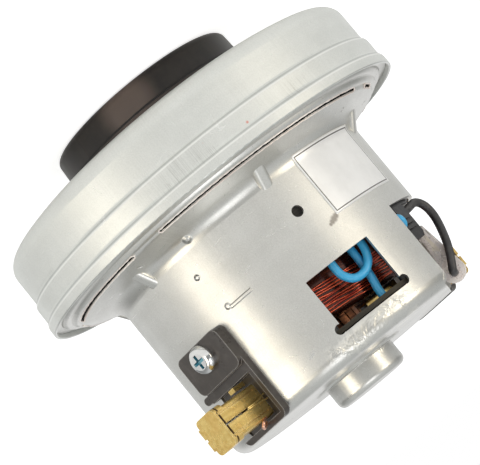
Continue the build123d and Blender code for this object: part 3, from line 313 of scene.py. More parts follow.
# %% Position round the shaft: the angle in radians, the radius and the height in metres
round_shaft, take, outside = new_group(
    "round_the_shaft", [("Vector", VECTOR, None)], [("Angle", FLOAT), ("Radius", FLOAT), ("Height", FLOAT)]
)
x, y, z = split_xyz(round_shaft, take["Vector"])
angle = maths(round_shaft, "ARCTAN2", y, x)
radius = maths(round_shaft, "SQRT", plus(round_shaft, times(round_shaft, x, x), times(round_shaft, y, y)))
fill(round_shaft, outside, angle, radius, z)

# %% Drawing marks: noise stretched along the shaft or round it
draw_marks, take, outside = new_group(
    "drawing_marks",
    [("Vector", VECTOR, None), ("Per Turn", FLOAT, 60.0), ("Per Metre", FLOAT, 20.0), ("Detail", FLOAT, 3.0)],
    [("Mask", FLOAT)],
)
angle, radius, height = use_group(draw_marks, round_shaft, take["Vector"])[:3]
stretched = join_xyz(
    draw_marks, times(draw_marks, angle, take["Per Turn"]), times(draw_marks, height, take["Per Metre"]),
    times(draw_marks, radius, take["Per Metre"]),
)
fill(draw_marks, outside, noise(draw_marks, stretched, 1.0, detail=take["Detail"]))

# %% Grain, smudges and scratches
grain, take, outside = new_group(
    "fine_grain", [("Vector", VECTOR, None), ("Scale", FLOAT, 2500.0)], [("Mask", FLOAT)]
)
fill(grain, outside, noise(grain, take["Vector"], take["Scale"], detail=4.0, roughness=0.65))

smudge, take, outside = new_group(
    "soft_smudges",
    [("Vector", VECTOR, None), ("Scale", FLOAT, 40.0), ("From", FLOAT, 0.5), ("To", FLOAT, 0.7)],
    [("Mask", FLOAT)],
)
clouds = noise(smudge, take["Vector"], take["Scale"], detail=5.0, roughness=0.6, distortion=0.6)
fill(smudge, outside, band(smudge, clouds, take["From"], take["To"]))

# A scratch is the thin line where a drawn-out noise crosses one half.
scratch, take, outside = new_group(
    "long_scratches",
    [("Vector", VECTOR, None), ("Scale", FLOAT, 60.0), ("Width", FLOAT, 0.0035)],
    [("Mask", FLOAT)],
)
scratches = []
for number, turned in enumerate(((0.3, 0.9, 0.2), (1.2, 0.4, 1.0), (2.2, 1.7, 0.6))):
    drawn_out = add_node(
        scratch, "ShaderNodeMapping", vector=take["Vector"], rotation=turned, scale=(1.0, 0.08, 1.0)
    ).outputs[0]
    wander = noise(scratch, drawn_out, times(scratch, take["Scale"], 1.0 + 0.37 * number), detail=0.0)
    ridge = maths(scratch, "ABSOLUTE", minus(scratch, wander, 0.5))
    gate = noise(scratch, take["Vector"], times(scratch, take["Scale"], 2.3 + number), detail=2.0)
    line = maths(scratch, "LESS_THAN", ridge, take["Width"])
    scratches.append(times(scratch, line, maths(scratch, "GREATER_THAN", gate, 0.6)))
fill(scratch, outside, strongest(scratch, scratches))

# %% Edge mask: where a rounded normal differs from the real one
edge, take, outside = new_group("edge_mask", [("Radius", FLOAT, 0.0006)], [("Mask", FLOAT)])
rounded_normal = add_node(edge, "ShaderNodeBevel", samples=6, radius=take["Radius"]).outputs[0]
real_normal = edge.nodes.new("ShaderNodeNewGeometry").outputs["Normal"]
alike = vector_maths(edge, "DOT_PRODUCT", rounded_normal, real_normal)
fill(edge, outside, band(edge, alike, 0.99, 0.75))

# %% A pressed dot: a round mark at one place of the wall
dot_mark, take, outside = new_group(
    "pressed_dot",
    [("Vector", VECTOR, None), ("Centre", VECTOR, (0, 0, 0)), ("Size", FLOAT, 0.001)],
    [("Mask", FLOAT)],
)
apart = vector_maths(dot_mark, "DISTANCE", take["Vector"], take["Centre"])
fill(dot_mark, outside, band(dot_mark, maths(dot_mark, "DIVIDE", apart, take["Size"]), 1.0, 0.35))

# %% Helpers for materials
def open_finish(material):
    """A material's node tree, its Principled BSDF and Object coordinates."""
    tree = material.node_tree
    place = tree.nodes.new("ShaderNodeTexCoord").outputs["Object"]
    return tree, tree.nodes["Principled BSDF"], place


def new_finish(name, colour, metallic, roughness):
    """A material with its colour, metal and roughness set, opened for more nodes."""
    material = bpy.data.materials.new(name)
    material.use_nodes = True
    tree, shader, place = open_finish(material)
    set_node(tree, shader, base_color=(*colour, 1), metallic=metallic, roughness=roughness)
    return material, tree, shader, place


def blend_colour(tree, mask, low, high):
    """A colour that goes from low to high with the mask; each is a colour or an output."""
    made = add_node(tree, "ShaderNodeMix", data_type="RGBA", factor=mask)
    # A Mix node keeps its colours in inputs 6 and 7 and in output 2.
    for socket, value in ((made.inputs[6], low), (made.inputs[7], high)):
        set_or_link(tree, socket, (*value, 1) if isinstance(value, tuple) else value)
    return made.outputs[2]


def tint(tree, tone, mask, amount, colour):
    """The tone, taken towards a colour where the mask is, by the amount at most."""
    return blend_colour(tree, times(tree, mask, amount), tone, colour)


def scaled(colour, share, lift=0.0):
    """A lighter or darker colour, held at white."""
    return tuple(min(1.0, share * c + lift) for c in colour)


def bump(tree, shader, height, strength, distance):
    """Adds a height to the shader's normal, on top of the heights it has."""
    made = add_node(tree, "ShaderNodeBump", strength=strength, distance=distance, height=height)
    if shader.inputs["Normal"].is_linked:
        tree.links.new(shader.inputs["Normal"].links[0].from_socket, made.inputs["Normal"])
    set_node(tree, shader, normal=made.outputs[0])


def dress(material, *names):
    """Gives nodes of the frame a material in place of their own."""
    for name in names:
        mesh = nodes[name].data
        mesh.materials.clear()
        mesh.materials.append(material)
    print(material.name, "on", ", ".join(names))


def round_place(radius_mm, angle_deg, height_mm):
    """A point from its distance to the shaft, its angle and its height."""
    a = math.radians(angle_deg)
    return Vector((radius_mm * math.cos(a), radius_mm * math.sin(a), height_mm)) * MM


def at_places(tree, place, spots):
    """The strongest of several pressed dots; each spot is a point and a size."""
    return strongest(tree, [use_group(tree, dot_mark, place, centre=p, size=size) for p, size in spots])


def zone(tree, place, angles, heights, soft_angle, soft_height):
    """A mask over a stretch of the wall, given in degrees and millimetres."""
    on_shaft = use_group(tree, round_shaft, place)
    low, high = (math.radians(a) for a in angles)
    around = between(tree, on_shaft["Angle"], low, high, math.radians(soft_angle))
    along = between(tree, on_shaft["Height"], heights[0] * MM, heights[1] * MM, soft_height * MM)
    return times(tree, around, along)


# %% [markdown]
# The finishes. Zinc-plated sheet has a fine bright grain, faint marks of the draw that
# run along the shaft on the walls and rings on the flats, a few scratches, and soft dull
# smudges where it was handled. The cover is a shade lighter and cleaner.

# %% Sheet metal
wall_radius = 45.2  # of the housing, in mm, where the label and the press marks lie


def sheet_metal(name, colour, dark, rough, along_marks, ring_marks, grain_depth, worn_share=0.2):
    """Drawn zinc-plated sheet; the marks are counts per turn and per metre."""
    material, tree, shader, place = new_finish(name, colour, 0.88, rough)
    lengthways = use_group(tree, draw_marks, place, per_turn=along_marks, per_metre=14.0, detail=2.0)
    rings = use_group(tree, draw_marks, place, per_turn=0.8, per_metre=ring_marks, detail=2.0)
    fine = use_group(tree, grain, place, scale=2600.0)
    cloud = use_group(tree, grain, place, scale=60.0)
    dull = use_group(tree, smudge, place, scale=30.0)
    drawn = use_group(tree, smudge, place, scale=17.0)
    worn = use_group(tree, scratch, place, scale=90.0)
    edges = use_group(tree, edge, radius=0.0004)
    marks = times(tree, minus(tree, lengthways, 0.5), times(tree, drawn, 0.9))
    for mask, share in ((rings, 0.35), (fine, 1.3), (cloud, 0.8)):
        marks = plus(tree, marks, times(tree, minus(tree, mask, 0.5), share))
    marks = plus(tree, marks, 0.5)
    tone = blend_colour(tree, band(tree, marks, 0.1, 0.9), dark, colour)
    tone = tint(tree, tone, dull, 0.25, scaled(colour, 0.86))
    tone = tint(tree, tone, worn, worn_share, scaled(colour, 1.2))
    # Painted highlight: the edges are a little lighter.
    tone = tint(tree, tone, edges, 0.3, scaled(colour, 1.2))
    roughness = band(tree, marks, 0.1, 0.9, rough + 0.05, rough - 0.04)
    roughness = plus(tree, roughness, times(tree, dull, 0.06))
    roughness = minus(tree, roughness, times(tree, worn, 0.1))
    set_node(tree, shader, roughness=roughness)
    bump(tree, shader, marks, 0.3, grain_depth)
    return material, tree, shader, place, tone


# %% Fan cover and bracket
cover_steel, tree, shader, place, tone = sheet_metal(
    "cover_steel", (0.80, 0.81, 0.785), (0.70, 0.712, 0.69), 0.36, 150.0, 260.0, 0.00003, 0.12
)
lines = use_group(tree, draw_marks, place, per_turn=430.0, per_metre=35.0, detail=2.0)
patchy = use_group(tree, smudge, place, scale=34.0)
rows = zone(tree, place, (-125.0, 15.0), (30.5, 38.0), 8.0, 1.5)
drawn = times(tree, times(tree, band(tree, lines, 0.5, 0.62), patchy), rows)
tone = tint(tree, tone, drawn, 0.55, (0.36, 0.36, 0.34))
# Each step between two bands is a crease: a dark line of painted shade, and a bright line of painted
# highlight behind it.
cover_height = use_group(tree, round_shaft, place)["Height"]
for crease in (31.0, 37.8):
    crease_shade = between(tree, cover_height, crease * MM, (crease + 0.4) * MM, 0.2 * MM)
    crease_highlight = between(tree, cover_height, (crease + 0.8) * MM, (crease + 1.0) * MM, 0.2 * MM)
    tone = tint(tree, tone, crease_shade, 0.55, (0.42, 0.43, 0.42))
    tone = tint(tree, tone, crease_highlight, 0.6, (0.97, 0.97, 0.95))
red_specks = [(round_place(64.6, -49.0, 33.5), 0.7 * MM), (round_place(65.3, -61.0, 36.5), 0.6 * MM)]
tone = tint(tree, tone, at_places(tree, place, red_specks), 0.7, (0.72, 0.2, 0.14))
set_node(tree, shader, base_color=tone)
dress(cover_steel, "fan_cover")
# The bracket is painted dark, as painted shade behind the flange's slits.
bracket_steel, tree, shader, place, tone = sheet_metal(
    "bracket_steel", (0.2, 0.195, 0.19), (0.12, 0.12, 0.115), 0.5, 60.0, 300.0, 0.00004
)
set_node(tree, shader, base_color=tone)
dress(bracket_steel, "front_bearing_bracket")

# %% Motor housing
housing_steel, tree, shader, place, tone = sheet_metal(
    "housing_steel", (0.72, 0.715, 0.69), (0.6, 0.595, 0.57), 0.32, 110.0, 200.0, 0.00004
)
smear = at_places(tree, place, [
    (round_place(wall_radius, -73.4, 70.4), 1.3 * MM), (round_place(wall_radius, -72.1, 70.8), 1.5 * MM),
    (round_place(wall_radius, -70.8, 71.2), 1.2 * MM), (round_place(wall_radius, -69.6, 71.6), 0.8 * MM),
])
tone = tint(tree, tone, smear, 0.75, (0.16, 0.14, 0.13))
# The crumpled rear corner: bumped dents, with a painted cream highlight on them.
crumpled = zone(tree, place, (-108.0, -42.0), (100.5, 106.5), 10.0, 2.5)
dents_and_highlight = times(tree, crumpled, use_group(tree, smudge, place, scale=65.0))
tone = tint(tree, tone, dents_and_highlight, 0.55, (0.93, 0.9, 0.82))
# The sheet inside each slit is painted black, as painted shade in the slit. Slits are told by their start and
# span in degrees.
slit_spans = ((-124.0, 8.0), (-107.0, 83.5), (-12.5, 47.5), (46.0, 84.0), (140.0, 66.0))
slit_radii, slit_heights = (56.3 * MM, 57.6 * MM), (40.5 * MM, 43.6 * MM)
angle, radius, height = use_group(tree, round_shaft, place)[:3]
ragged = times(tree, minus(tree, use_group(tree, grain, place, scale=900.0), 0.5), 0.45 * MM)
in_slit = times(
    tree, between(tree, radius, *slit_radii, 0.1 * MM),
    between(tree, plus(tree, height, ragged), *slit_heights, 0.12 * MM),
)
for start, span in slit_spans:
    after = maths(tree, "WRAP", minus(tree, angle, math.radians(start)), 2 * math.pi, 0.0)
    in_span = maths(tree, "LESS_THAN", after, math.radians(span))
    tone = blend_colour(tree, times(tree, in_slit, in_span), tone, (0.006, 0.005, 0.005))
set_node(tree, shader, base_color=tone)
bump(tree, shader, dents_and_highlight, 0.55, 0.0007)
dimples = [(round_place(45.6, -24.6, 48.6), 1.7 * MM), (round_place(wall_radius, -17.6, 58.9), 1.1 * MM)]
bump(tree, shader, at_places(tree, place, dimples), 1.0, 0.0008)
lanced = at_places(tree, place, [
    (round_place(51, -7, 45.9), 1.2 * MM), (round_place(51, 54, 45.9), 1.2 * MM),
    (round_place(51, -104, 45.9), 1.0 * MM), (round_place(52, -129, 45.6), 1.1 * MM),
    (round_place(53, -130.5, 45.2), 0.9 * MM),
])
bump(tree, shader, lanced, 0.9, -0.0006)
pressed_line = zone(tree, place, (-31.0, -21.0), (71.5, 72.0), 0.4, 0.45)
line_end = at_places(tree, place, [(round_place(wall_radius, -20.0, 71.0), 1.2 * MM)])
bump(tree, shader, strongest(tree, [pressed_line, line_end]), 0.8, 0.0005)
dress(housing_steel, "motor_housing")

# %% Bright turned and ground steel, laminations, bearings and screws
def turned_metal(name, colour, dark, rough, rings, depth=0.00002, metallic=1.0):
    """Machined metal with fine rings round the shaft."""
    material, tree, shader, place = new_finish(name, colour, metallic, rough)
    ring = use_group(tree, draw_marks, place, per_turn=1.5, per_metre=rings, detail=4.0)
    fine = use_group(tree, grain, place, scale=1800.0)
    dull = use_group(tree, smudge, place, scale=120.0)
    edges = use_group(tree, edge, radius=0.0003)
    tone = blend_colour(tree, band(tree, ring, 0.35, 0.65), dark, colour)
    tone = tint(tree, tone, dull, 0.4, dark)
    # Painted highlight: the edges are lighter.
    tone = tint(tree, tone, edges, 0.5, scaled(colour, 1.3))
    roughness = band(tree, ring, 0.3, 0.7, rough - 0.06, rough + 0.08)
    set_node(tree, shader, base_color=tone, roughness=roughness)
    bump(tree, shader, plus(tree, ring, times(tree, fine, 0.3)), 0.3, depth)
    return material


bearing_steel = turned_metal("bearing_steel", (0.68, 0.68, 0.67), (0.5, 0.5, 0.5), 0.18, 2500.0)
shaft_steel = turned_metal("shaft_steel", (0.6, 0.6, 0.59), (0.42, 0.42, 0.41), 0.22, 3200.0)
screw_steel = turned_metal("screw_steel", (0.82, 0.82, 0.81), (0.68, 0.68, 0.68), 0.12, 300.0, 0.000006)
spring_steel = turned_metal("spring_steel", (0.55, 0.54, 0.52), (0.4, 0.4, 0.38), 0.26, 1500.0)
impeller_aluminium = turned_metal("impeller_aluminium", (0.8, 0.8, 0.8), (0.64, 0.64, 0.65), 0.3, 1100.0)
core_steel = turned_metal("core_steel", (0.075, 0.07, 0.066), (0.035, 0.033, 0.03), 0.5, 2000.0, 0.0001)
commutator_copper = turned_metal("commutator_copper", (0.4, 0.17, 0.09), (0.16, 0.08, 0.05), 0.34, 1400.0)
dress(
    bearing_steel, "front_bearing_outer_ring", "rear_bearing_outer_ring", "front_bearing_inner_ring",
    "rear_bearing_inner_ring", "front_bearing_balls", "rear_bearing_balls", "front_bearing_shields",
    "rear_bearing_shields", "impeller_spacer", "impeller_washer", "impeller_nut",
)
dress(shaft_steel, "shaft")
# The recess of the screws is bluish, for the thread-lock in it, and painted dark as painted shade in the
# recess.
screw_height, recess_depth, recess_radius = 77.8, 50.2, 2.6
tree, shader, place = open_finish(screw_steel)
x, y, z = split_xyz(tree, place)
up_by = minus(tree, z, screw_height * MM)
from_middle = maths(tree, "SQRT", plus(tree, times(tree, y, y), times(tree, up_by, up_by)))
deep = maths(tree, "LESS_THAN", maths(tree, "ABSOLUTE", x), recess_depth * MM)
recess = times(tree, deep, maths(tree, "LESS_THAN", from_middle, recess_radius * MM))
tone = shader.inputs["Base Color"].links[0].from_socket
set_node(tree, shader, base_color=tint(tree, tone, recess, 0.85, (0.1, 0.34, 0.42)))
dress(screw_steel, "brush_holder_screws")
dress(spring_steel, "bearing_spring_washer", "brush_spring_a", "brush_spring_b")
dress(impeller_aluminium, "impeller_backplate", "impeller_blades", "impeller_shroud")
dress(core_steel, "stator_core", "armature_core")
dress(commutator_copper, "commutator_bars")

# %% [markdown]
# Brass, copper wire, plastics and rubber. The brass tubes are folded from strip, so
# their streaks run along the tube. The enamel on the wire is a dark red-brown coat with
# orange lights. The rubber of the seal is satin, with one painted highlight on its side.

# %% Brass
def folded_brass():
    """Yellow brass with streaks along X, darker where it was heated."""
    material, tree, shader, place = new_finish("brass", (0.83, 0.6, 0.24), 0.72, 0.32)
    drawn_out = add_node(tree, "ShaderNodeMapping", vector=place, scale=(0.08, 1.0, 1.0)).outputs[0]
    streak = use_group(tree, grain, drawn_out, scale=620.0)
    cloud = use_group(tree, grain, place, scale=190.0)
    stain = use_group(tree, smudge, place, scale=95.0)
    edges = use_group(tree, edge, radius=0.00045)
    tone = blend_colour(tree, band(tree, streak, 0.3, 0.7), (0.68, 0.47, 0.14), (0.9, 0.68, 0.26))
    tone = tint(tree, tone, band(tree, cloud, 0.4, 0.65), 0.35, (0.66, 0.4, 0.12))
    tone = tint(tree, tone, stain, 0.4, (0.46, 0.24, 0.07))
    # Painted highlight: the edges are pale yellow.
    tone = tint(tree, tone, edges, 0.6, (0.98, 0.84, 0.5))
    # Painted shade: a dark line close to the outer end, between the end plate and the tube's end edge.
    off_centre = maths(tree, "ABSOLUTE", split_xyz(tree, place)[0])
    gap_shade = between(tree, off_centre, 61.25 * MM, 61.8 * MM, 0.12 * MM)
    tone = tint(tree, tone, gap_shade, 0.95, (0.05, 0.022, 0.008))
    set_node(tree, shader, base_color=tone, roughness=band(tree, cloud, 0.3, 0.7, 0.2, 0.36))
    bump(tree, shader, streak, 0.08, 0.00003)
    return material


brass = folded_brass()
dress(
    brass, "brush_tube_a", "brush_tube_b", "brush_cap_a", "brush_cap_b",
    "brush_contact_a", "brush_contact_b",
)
tinned_brass = turned_metal("tinned_brass", (0.42, 0.42, 0.36), (0.24, 0.25, 0.2), 0.36, 900.0)
dress(tinned_brass, "supply_terminal")

# %% Enamelled copper
def enamelled_wire(name, deep, light, low_rough=0.22, coat_rough=0.12):
    """Copper under a clear brown enamel; wire lines run round the shaft."""
    material, tree, shader, place = new_finish(name, deep, 0.7, 0.3)
    lines = use_group(tree, draw_marks, place, per_turn=3.0, per_metre=1500.0, detail=2.0)
    stain = use_group(tree, smudge, place, scale=210.0)
    fine = use_group(tree, grain, place, scale=1400.0)
    tone = blend_colour(tree, band(tree, lines, 0.35, 0.65), deep, light)
    tone = tint(tree, tone, stain, 0.5, scaled(deep, 0.5))
    roughness = band(tree, fine, 0.3, 0.7, low_rough, low_rough + 0.12)
    set_node(tree, shader, base_color=tone, roughness=roughness, coat_weight=0.6, coat_roughness=coat_rough)
    bump(tree, shader, plus(tree, lines, times(tree, fine, 0.3)), 0.4, 0.00012)
    return material


copper_wire = enamelled_wire("enamelled_copper", (0.05, 0.012, 0.007), (0.13, 0.03, 0.014))
bright_wire = enamelled_wire("bright_enamel", (0.42, 0.035, 0.012), (0.95, 0.16, 0.06), 0.12, 0.04)
dress(
    copper_wire, "field_coil_a", "field_coil_b", "field_coil_a_turns", "field_coil_b_turns",
    "armature_winding",
)

# %% Plastics, board and rubber
def moulded(
    name, colour, shade, rough, speck=0.0, grain_size=900.0, depth=0.00006, coat=0.0,
    glint_share=0.22, glint_lift=0.05,
):
    """Moulded plastic or rubber: a mottled colour, fine grain, and painted highlights on the edges."""
    material, tree, shader, place = new_finish(name, colour, 0.0, rough)
    mottle = use_group(tree, grain, place, scale=130.0)
    fine = use_group(tree, grain, place, scale=grain_size)
    dust = use_group(tree, smudge, place, scale=260.0)
    edges = use_group(tree, edge, radius=0.0005)
    tone = blend_colour(tree, band(tree, mottle, 0.3, 0.7), shade, colour)
    tone = tint(tree, tone, dust, speck, (0.42, 0.41, 0.39))
    # Painted highlight: the edges are lighter.
    tone = tint(tree, tone, edges, glint_share, scaled(colour, 1.6, glint_lift))
    roughness = band(tree, mottle, 0.3, 0.7, rough - 0.05, rough + 0.07)
    set_node(tree, shader, base_color=tone, roughness=roughness, coat_weight=coat, coat_roughness=0.3)
    bump(tree, shader, fine, 0.3, depth)
    return material


rubber = moulded("seal_rubber", (0.026, 0.02, 0.018), (0.012, 0.009, 0.008), 0.34, 0.0, 500.0, 0.00001, 0.2)
# The holder's edges get strong painted highlights.
holder_plastic = moulded(
    "holder_plastic", (0.05, 0.041, 0.037), (0.034, 0.027, 0.023), 0.31, 0.05, 800.0, 0.00004, 0.35, 0.95, 0.3
)
insulator_plastic = moulded("insulator_plastic", (0.03, 0.03, 0.032), (0.018, 0.018, 0.02), 0.42, 0.08)
block_plastic = moulded(
    "block_plastic", (0.022, 0.022, 0.024), (0.014, 0.014, 0.016), 0.4, 0.08, 800.0, 0.00006, 0.1, 0.5
)
ring_board = moulded("ring_board", (0.035, 0.028, 0.013), (0.018, 0.014, 0.008), 0.6, 0.04)
# The diffuser is dark plastic, kept this dark as painted shade behind the slits.
diffuser_plastic = moulded("diffuser_plastic", (0.05, 0.05, 0.052), (0.03, 0.03, 0.032), 0.45)
carbon = moulded("carbon", (0.045, 0.045, 0.048), (0.025, 0.025, 0.027), 0.35, 0.05, 1600.0, 0.00005)
black_insulation = moulded("black_insulation", (0.05, 0.048, 0.05), (0.035, 0.034, 0.036), 0.4, 0.1)
blue_insulation = moulded("blue_insulation", (0.06, 0.48, 0.86), (0.045, 0.4, 0.74), 0.34, 0.04, coat=0.25)
hub_plastic = moulded("hub_plastic", (0.08, 0.045, 0.03), (0.045, 0.025, 0.018), 0.4)
# The seal has a groove line where it meets the cover, painted near black as painted shade,
# a lighter lip behind it, and a painted highlight on the side that the camera sees.
tree, shader, place = open_finish(rubber)
seal_height = use_group(tree, round_shaft, place)["Height"]
tone = shader.inputs["Base Color"].links[0].from_socket
# Painted highlight on the seal's side.
shine_spots = [(round_place(32.5, -37, 5.0), 12 * MM), (round_place(32.5, -32, 6.5), 7 * MM)]
tone = tint(tree, tone, at_places(tree, place, shine_spots), 0.85, (0.17, 0.13, 0.115))
lip = band(tree, seal_height, 9.1 * MM, 9.5 * MM)
tone = tint(tree, tone, lip, 0.6, (0.085, 0.062, 0.055))
# Painted shade in the groove.
groove = between(tree, seal_height, 8.8 * MM, 9.1 * MM, 0.25 * MM)
tone = blend_colour(tree, groove, tone, (0.006, 0.005, 0.005))
set_node(tree, shader, base_color=tone, specular_ior_level=0.32)
bump(tree, shader, minus(tree, 1.0, groove), 0.8, 0.0003)
dress(rubber, "inlet_seal")
dress(holder_plastic, "brush_holder_a", "brush_holder_b")
dress(insulator_plastic, "stator_front_insulator", "stator_rear_insulator")
block_plastic.node_tree.nodes["Principled BSDF"].inputs["Specular IOR Level"].default_value = 0.2
dress(block_plastic, "lead_block")
dress(ring_board, "insulating_ring")
dress(diffuser_plastic, "diffuser")
dress(carbon, "carbon_brush_a", "carbon_brush_b")
dress(black_insulation, "supply_lead")
dress(blue_insulation, "blue_lead_a", "blue_lead_b")
dress(hub_plastic, "commutator_hub")

# %% The clear sleeve, milky and a little pink
sleeve_clear, tree, shader, place = new_finish("clear_sleeve", (0.9, 0.82, 0.8), 0.0, 0.28)
cloud = use_group(tree, grain, place, scale=260.0)
fine = use_group(tree, grain, place, scale=1200.0)
milky = blend_colour(tree, band(tree, cloud, 0.3, 0.7), (0.93, 0.86, 0.84), (0.99, 0.96, 0.95))
# The crimped metal shows through its middle as dark streaks, and cream streaks of painted highlight.
drawn_out = add_node(tree, "ShaderNodeMapping", vector=place, scale=(620.0, 620.0, 110.0)).outputs[0]
streaks = use_group(tree, grain, drawn_out, scale=1.0)
crimped = zone(tree, place, (-142.0, -116.0), (84.0, 96.5), 3.0, 2.5)
dark_streaks = times(tree, band(tree, streaks, 0.5, 0.62), crimped)
cream_highlights = times(tree, band(tree, streaks, 0.46, 0.36), crimped)
milky = tint(tree, milky, dark_streaks, 0.85, (0.2, 0.18, 0.14))
milky = tint(tree, milky, cream_highlights, 0.7, (0.95, 0.88, 0.72))
roughness = band(tree, cloud, 0.3, 0.7, 0.2, 0.4)
set_node(tree, shader, base_color=milky, roughness=roughness, transmission_weight=0.35, ior=1.15)
bump(tree, shader, fine, 0.3, 0.00008)
dress(sleeve_clear, "terminal_sleeve")
print("finishes:", len(bpy.data.materials))

# %% [markdown]
# What the solids leave out. Geometry Nodes wind the outer strands of the field coils and
# lay the torn edges of the flange's slits: one recipe for the strands and one for the
# edges, run once for each piece. What a run made is kept as a plain mesh that rides on
# the motor's frame. The strands could also be drawn by hand, but a recipe keeps their
# pitch even and their lie a little loose.

# %% Helpers for pieces
def add_piece(name, mesh, material=None):
    """An object at the origin with a mesh of its own; it moves with the motor's frame."""
    thing = bpy.data.objects.new(name, mesh)
    if material is not None:
        mesh.materials.clear()
        mesh.materials.append(material)
    scene.collection.objects.link(thing)
    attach(thing, "motor_frame")
    return thing


def plain_mesh(carrier, name):
    """Keeps what an object's modifier or bevel makes as a plain mesh, and removes the object."""
    graph = bpy.context.evaluated_depsgraph_get()
    mesh = bpy.data.meshes.new_from_object(carrier.evaluated_get(graph), depsgraph=graph)
    mesh.name = name
    bpy.data.objects.remove(carrier, do_unlink=True)
    return mesh


def run_recipe(name, group, values):
    """Sets the group's inputs, runs it and gives back what it made as a plain mesh."""
    carrier = bpy.data.objects.new(name + "_recipe", bpy.data.meshes.new(name + "_recipe"))
    scene.collection.objects.link(carrier)
    maker = carrier.modifiers.new("recipe", "NODES")
    maker.node_group = group
    for item in group.interface.items_tree:
        if item.in_out == "INPUT" and item.name in values:
            maker[item.identifier] = values[item.name]
    return plain_mesh(carrier, name)


def rounded_loop(tree, width, height, corner, count, limit_radius=False):
    """A flat rectangle with round corners, as a curve of evenly spaced points."""
    loop = add_node(tree, "GeometryNodeCurvePrimitiveQuadrilateral", width=width, height=height)
    rounded = add_node(
        tree, "GeometryNodeFilletCurve", curve=loop.outputs[0], radius=corner, limit_radius=limit_radius
    )
    return add_node(tree, "GeometryNodeResampleCurve", curve=rounded.outputs[0], count=count).outputs[0]


def round_the_wall(tree, curve, radius, angle, height):
    """Moves each point of the curve to its radius, angle and height round the shaft."""
    x = times(tree, radius, maths(tree, "COSINE", angle))
    y = times(tree, radius, maths(tree, "SINE", angle))
    position = join_xyz(tree, x, y, height)
    return add_node(tree, "GeometryNodeSetPosition", geometry=curve, position=position).outputs[0]


def wobble(tree, vector, scale, spread):
    """Noise round zero, as large as the spread."""
    return times(tree, minus(tree, noise(tree, vector, scale, detail=1.0), 0.5), spread)


def finish_recipe(tree, take, outside, curve, sides):
    """Sweeps a round wire along the curve and gives it its material."""
    profile = add_node(
        tree, "GeometryNodeCurvePrimitiveCircle", resolution=sides, radius=take["Wire Radius"]
    ).outputs["Curve"]
    sweep = add_node(tree, "GeometryNodeCurveToMesh", curve=curve, profile_curve=profile, fill_caps=True)
    smooth = fill(tree, tree.nodes.new("GeometryNodeSetShadeSmooth"), sweep.outputs[0])
    whole = fill(tree, tree.nodes.new("GeometryNodeRealizeInstances"), smooth.outputs[0])
    painted = add_node(
        tree, "GeometryNodeSetMaterial", geometry=whole.outputs[0], material=take["Material"]
    )
    fill(tree, outside, painted.outputs[0])


# %% Outer strands of the field coils
wind, take, outside = new_group(
    "wound_strands",
    [
        ("Strands", "NodeSocketInt", 12), ("Pitch", FLOAT, 0.8), ("Wire Radius", FLOAT, 0.3),
        ("Drum Radius", FLOAT, 34.0), ("Width", FLOAT, 82.0), ("Height", FLOAT, 36.0),
        ("Corner", FLOAT, 2.6), ("Crown", FLOAT, 8.0), ("Middle Height", FLOAT, 66.0),
        ("Pole", FLOAT, 0.0), ("Seed", FLOAT, 0.0), ("Material", "NodeSocketMaterial", None),
    ],
    [("Geometry", "NodeSocketGeometry")], "GeometryNodeTree",
)
loop = rounded_loop(wind, take["Width"], take["Height"], take["Corner"], 180)
# One loop for each strand, stacked by the pitch. The stack's height then grows the loop
# outwards, so that the strands lie beside each other as a flat oval.
offset = join_xyz(wind, 0.0, 0.0, take["Pitch"])
row = add_node(wind, "GeometryNodeMeshLine", count=take["Strands"], offset=offset).outputs[0]
copies = add_node(wind, "GeometryNodeInstanceOnPoints", points=row, instance=loop)
stack = fill(wind, wind.nodes.new("GeometryNodeRealizeInstances"), copies.outputs[0]).outputs[0]
here = wind.nodes.new("GeometryNodeInputPosition").outputs[0]
tangent = wind.nodes.new("GeometryNodeInputTangent").outputs[0]
across = vector_maths(wind, "CROSS_PRODUCT", tangent, (0.0, 0.0, 1.0))
side = maths(wind, "SIGN", vector_maths(wind, "DOT_PRODUCT", across, here))
layer = split_xyz(wind, here)[2]
growth = times(wind, side, layer)
grown = add_node(wind, "ShaderNodeVectorMath", operation="SCALE", vector=across, scale=growth)
run, rise = split_xyz(wind, vector_maths(wind, "ADD", here, grown.outputs[0]))[:2]
seed = plus(wind, times(wind, layer, 9000.0), take["Seed"])
twist = join_xyz(wind, times(wind, run, 90.0), times(wind, rise, 90.0), seed)
rise = plus(wind, rise, wobble(wind, twist, 1.0, 1.9 * MM))
# The flat oval is bent round the drum. Its rear half dips towards its ends, by the crown.
around = maths(wind, "DIVIDE", run, take["Drum Radius"])
upper = maths(wind, "DIVIDE", times(wind, rise, 2.0), take["Height"])
upper = maths(wind, "MINIMUM", maths(wind, "MAXIMUM", upper, 0.0), 1.0)
fall = times(wind, take["Crown"], minus(wind, 1.0, maths(wind, "COSINE", around)))
height = plus(wind, take["Middle Height"], minus(wind, rise, times(wind, fall, upper)))
reach = plus(wind, take["Drum Radius"], wobble(wind, twist, 1.7, 0.3 * MM))
placed = round_the_wall(wind, stack, reach, plus(wind, around, take["Pole"]), height)
finish_recipe(wind, take, outside, placed, 8)

# All in mm and degrees: the innermost strand's rear and front, and half its way round.
strand_count, strand_pitch, strand_radius, drum_radius = 11, 0.84, 0.3, 34.12
first_rear, first_front, first_half_turn, first_corner, first_crown = 84.0, 48.4, 69.0, 2.6, 8.425
for side_name, pole in (("a", -90.0), ("b", 90.0)):
    mesh = run_recipe("outer_strands_" + side_name, wind, {
        "Strands": strand_count, "Pitch": strand_pitch * MM, "Wire Radius": strand_radius * MM,
        "Drum Radius": drum_radius * MM, "Width": 2 * drum_radius * math.radians(first_half_turn) * MM,
        "Height": (first_rear - first_front) * MM, "Corner": first_corner * MM, "Crown": first_crown * MM,
        "Middle Height": (first_rear + first_front) / 2 * MM, "Pole": math.radians(pole),
        "Seed": 3.0 + pole, "Material": bright_wire,
    })
    strands = add_piece("outer_strands_" + side_name, mesh)
    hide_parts("field_coil_" + side_name + "_turns")
    print(strands.name, len(mesh.polygons), "faces")

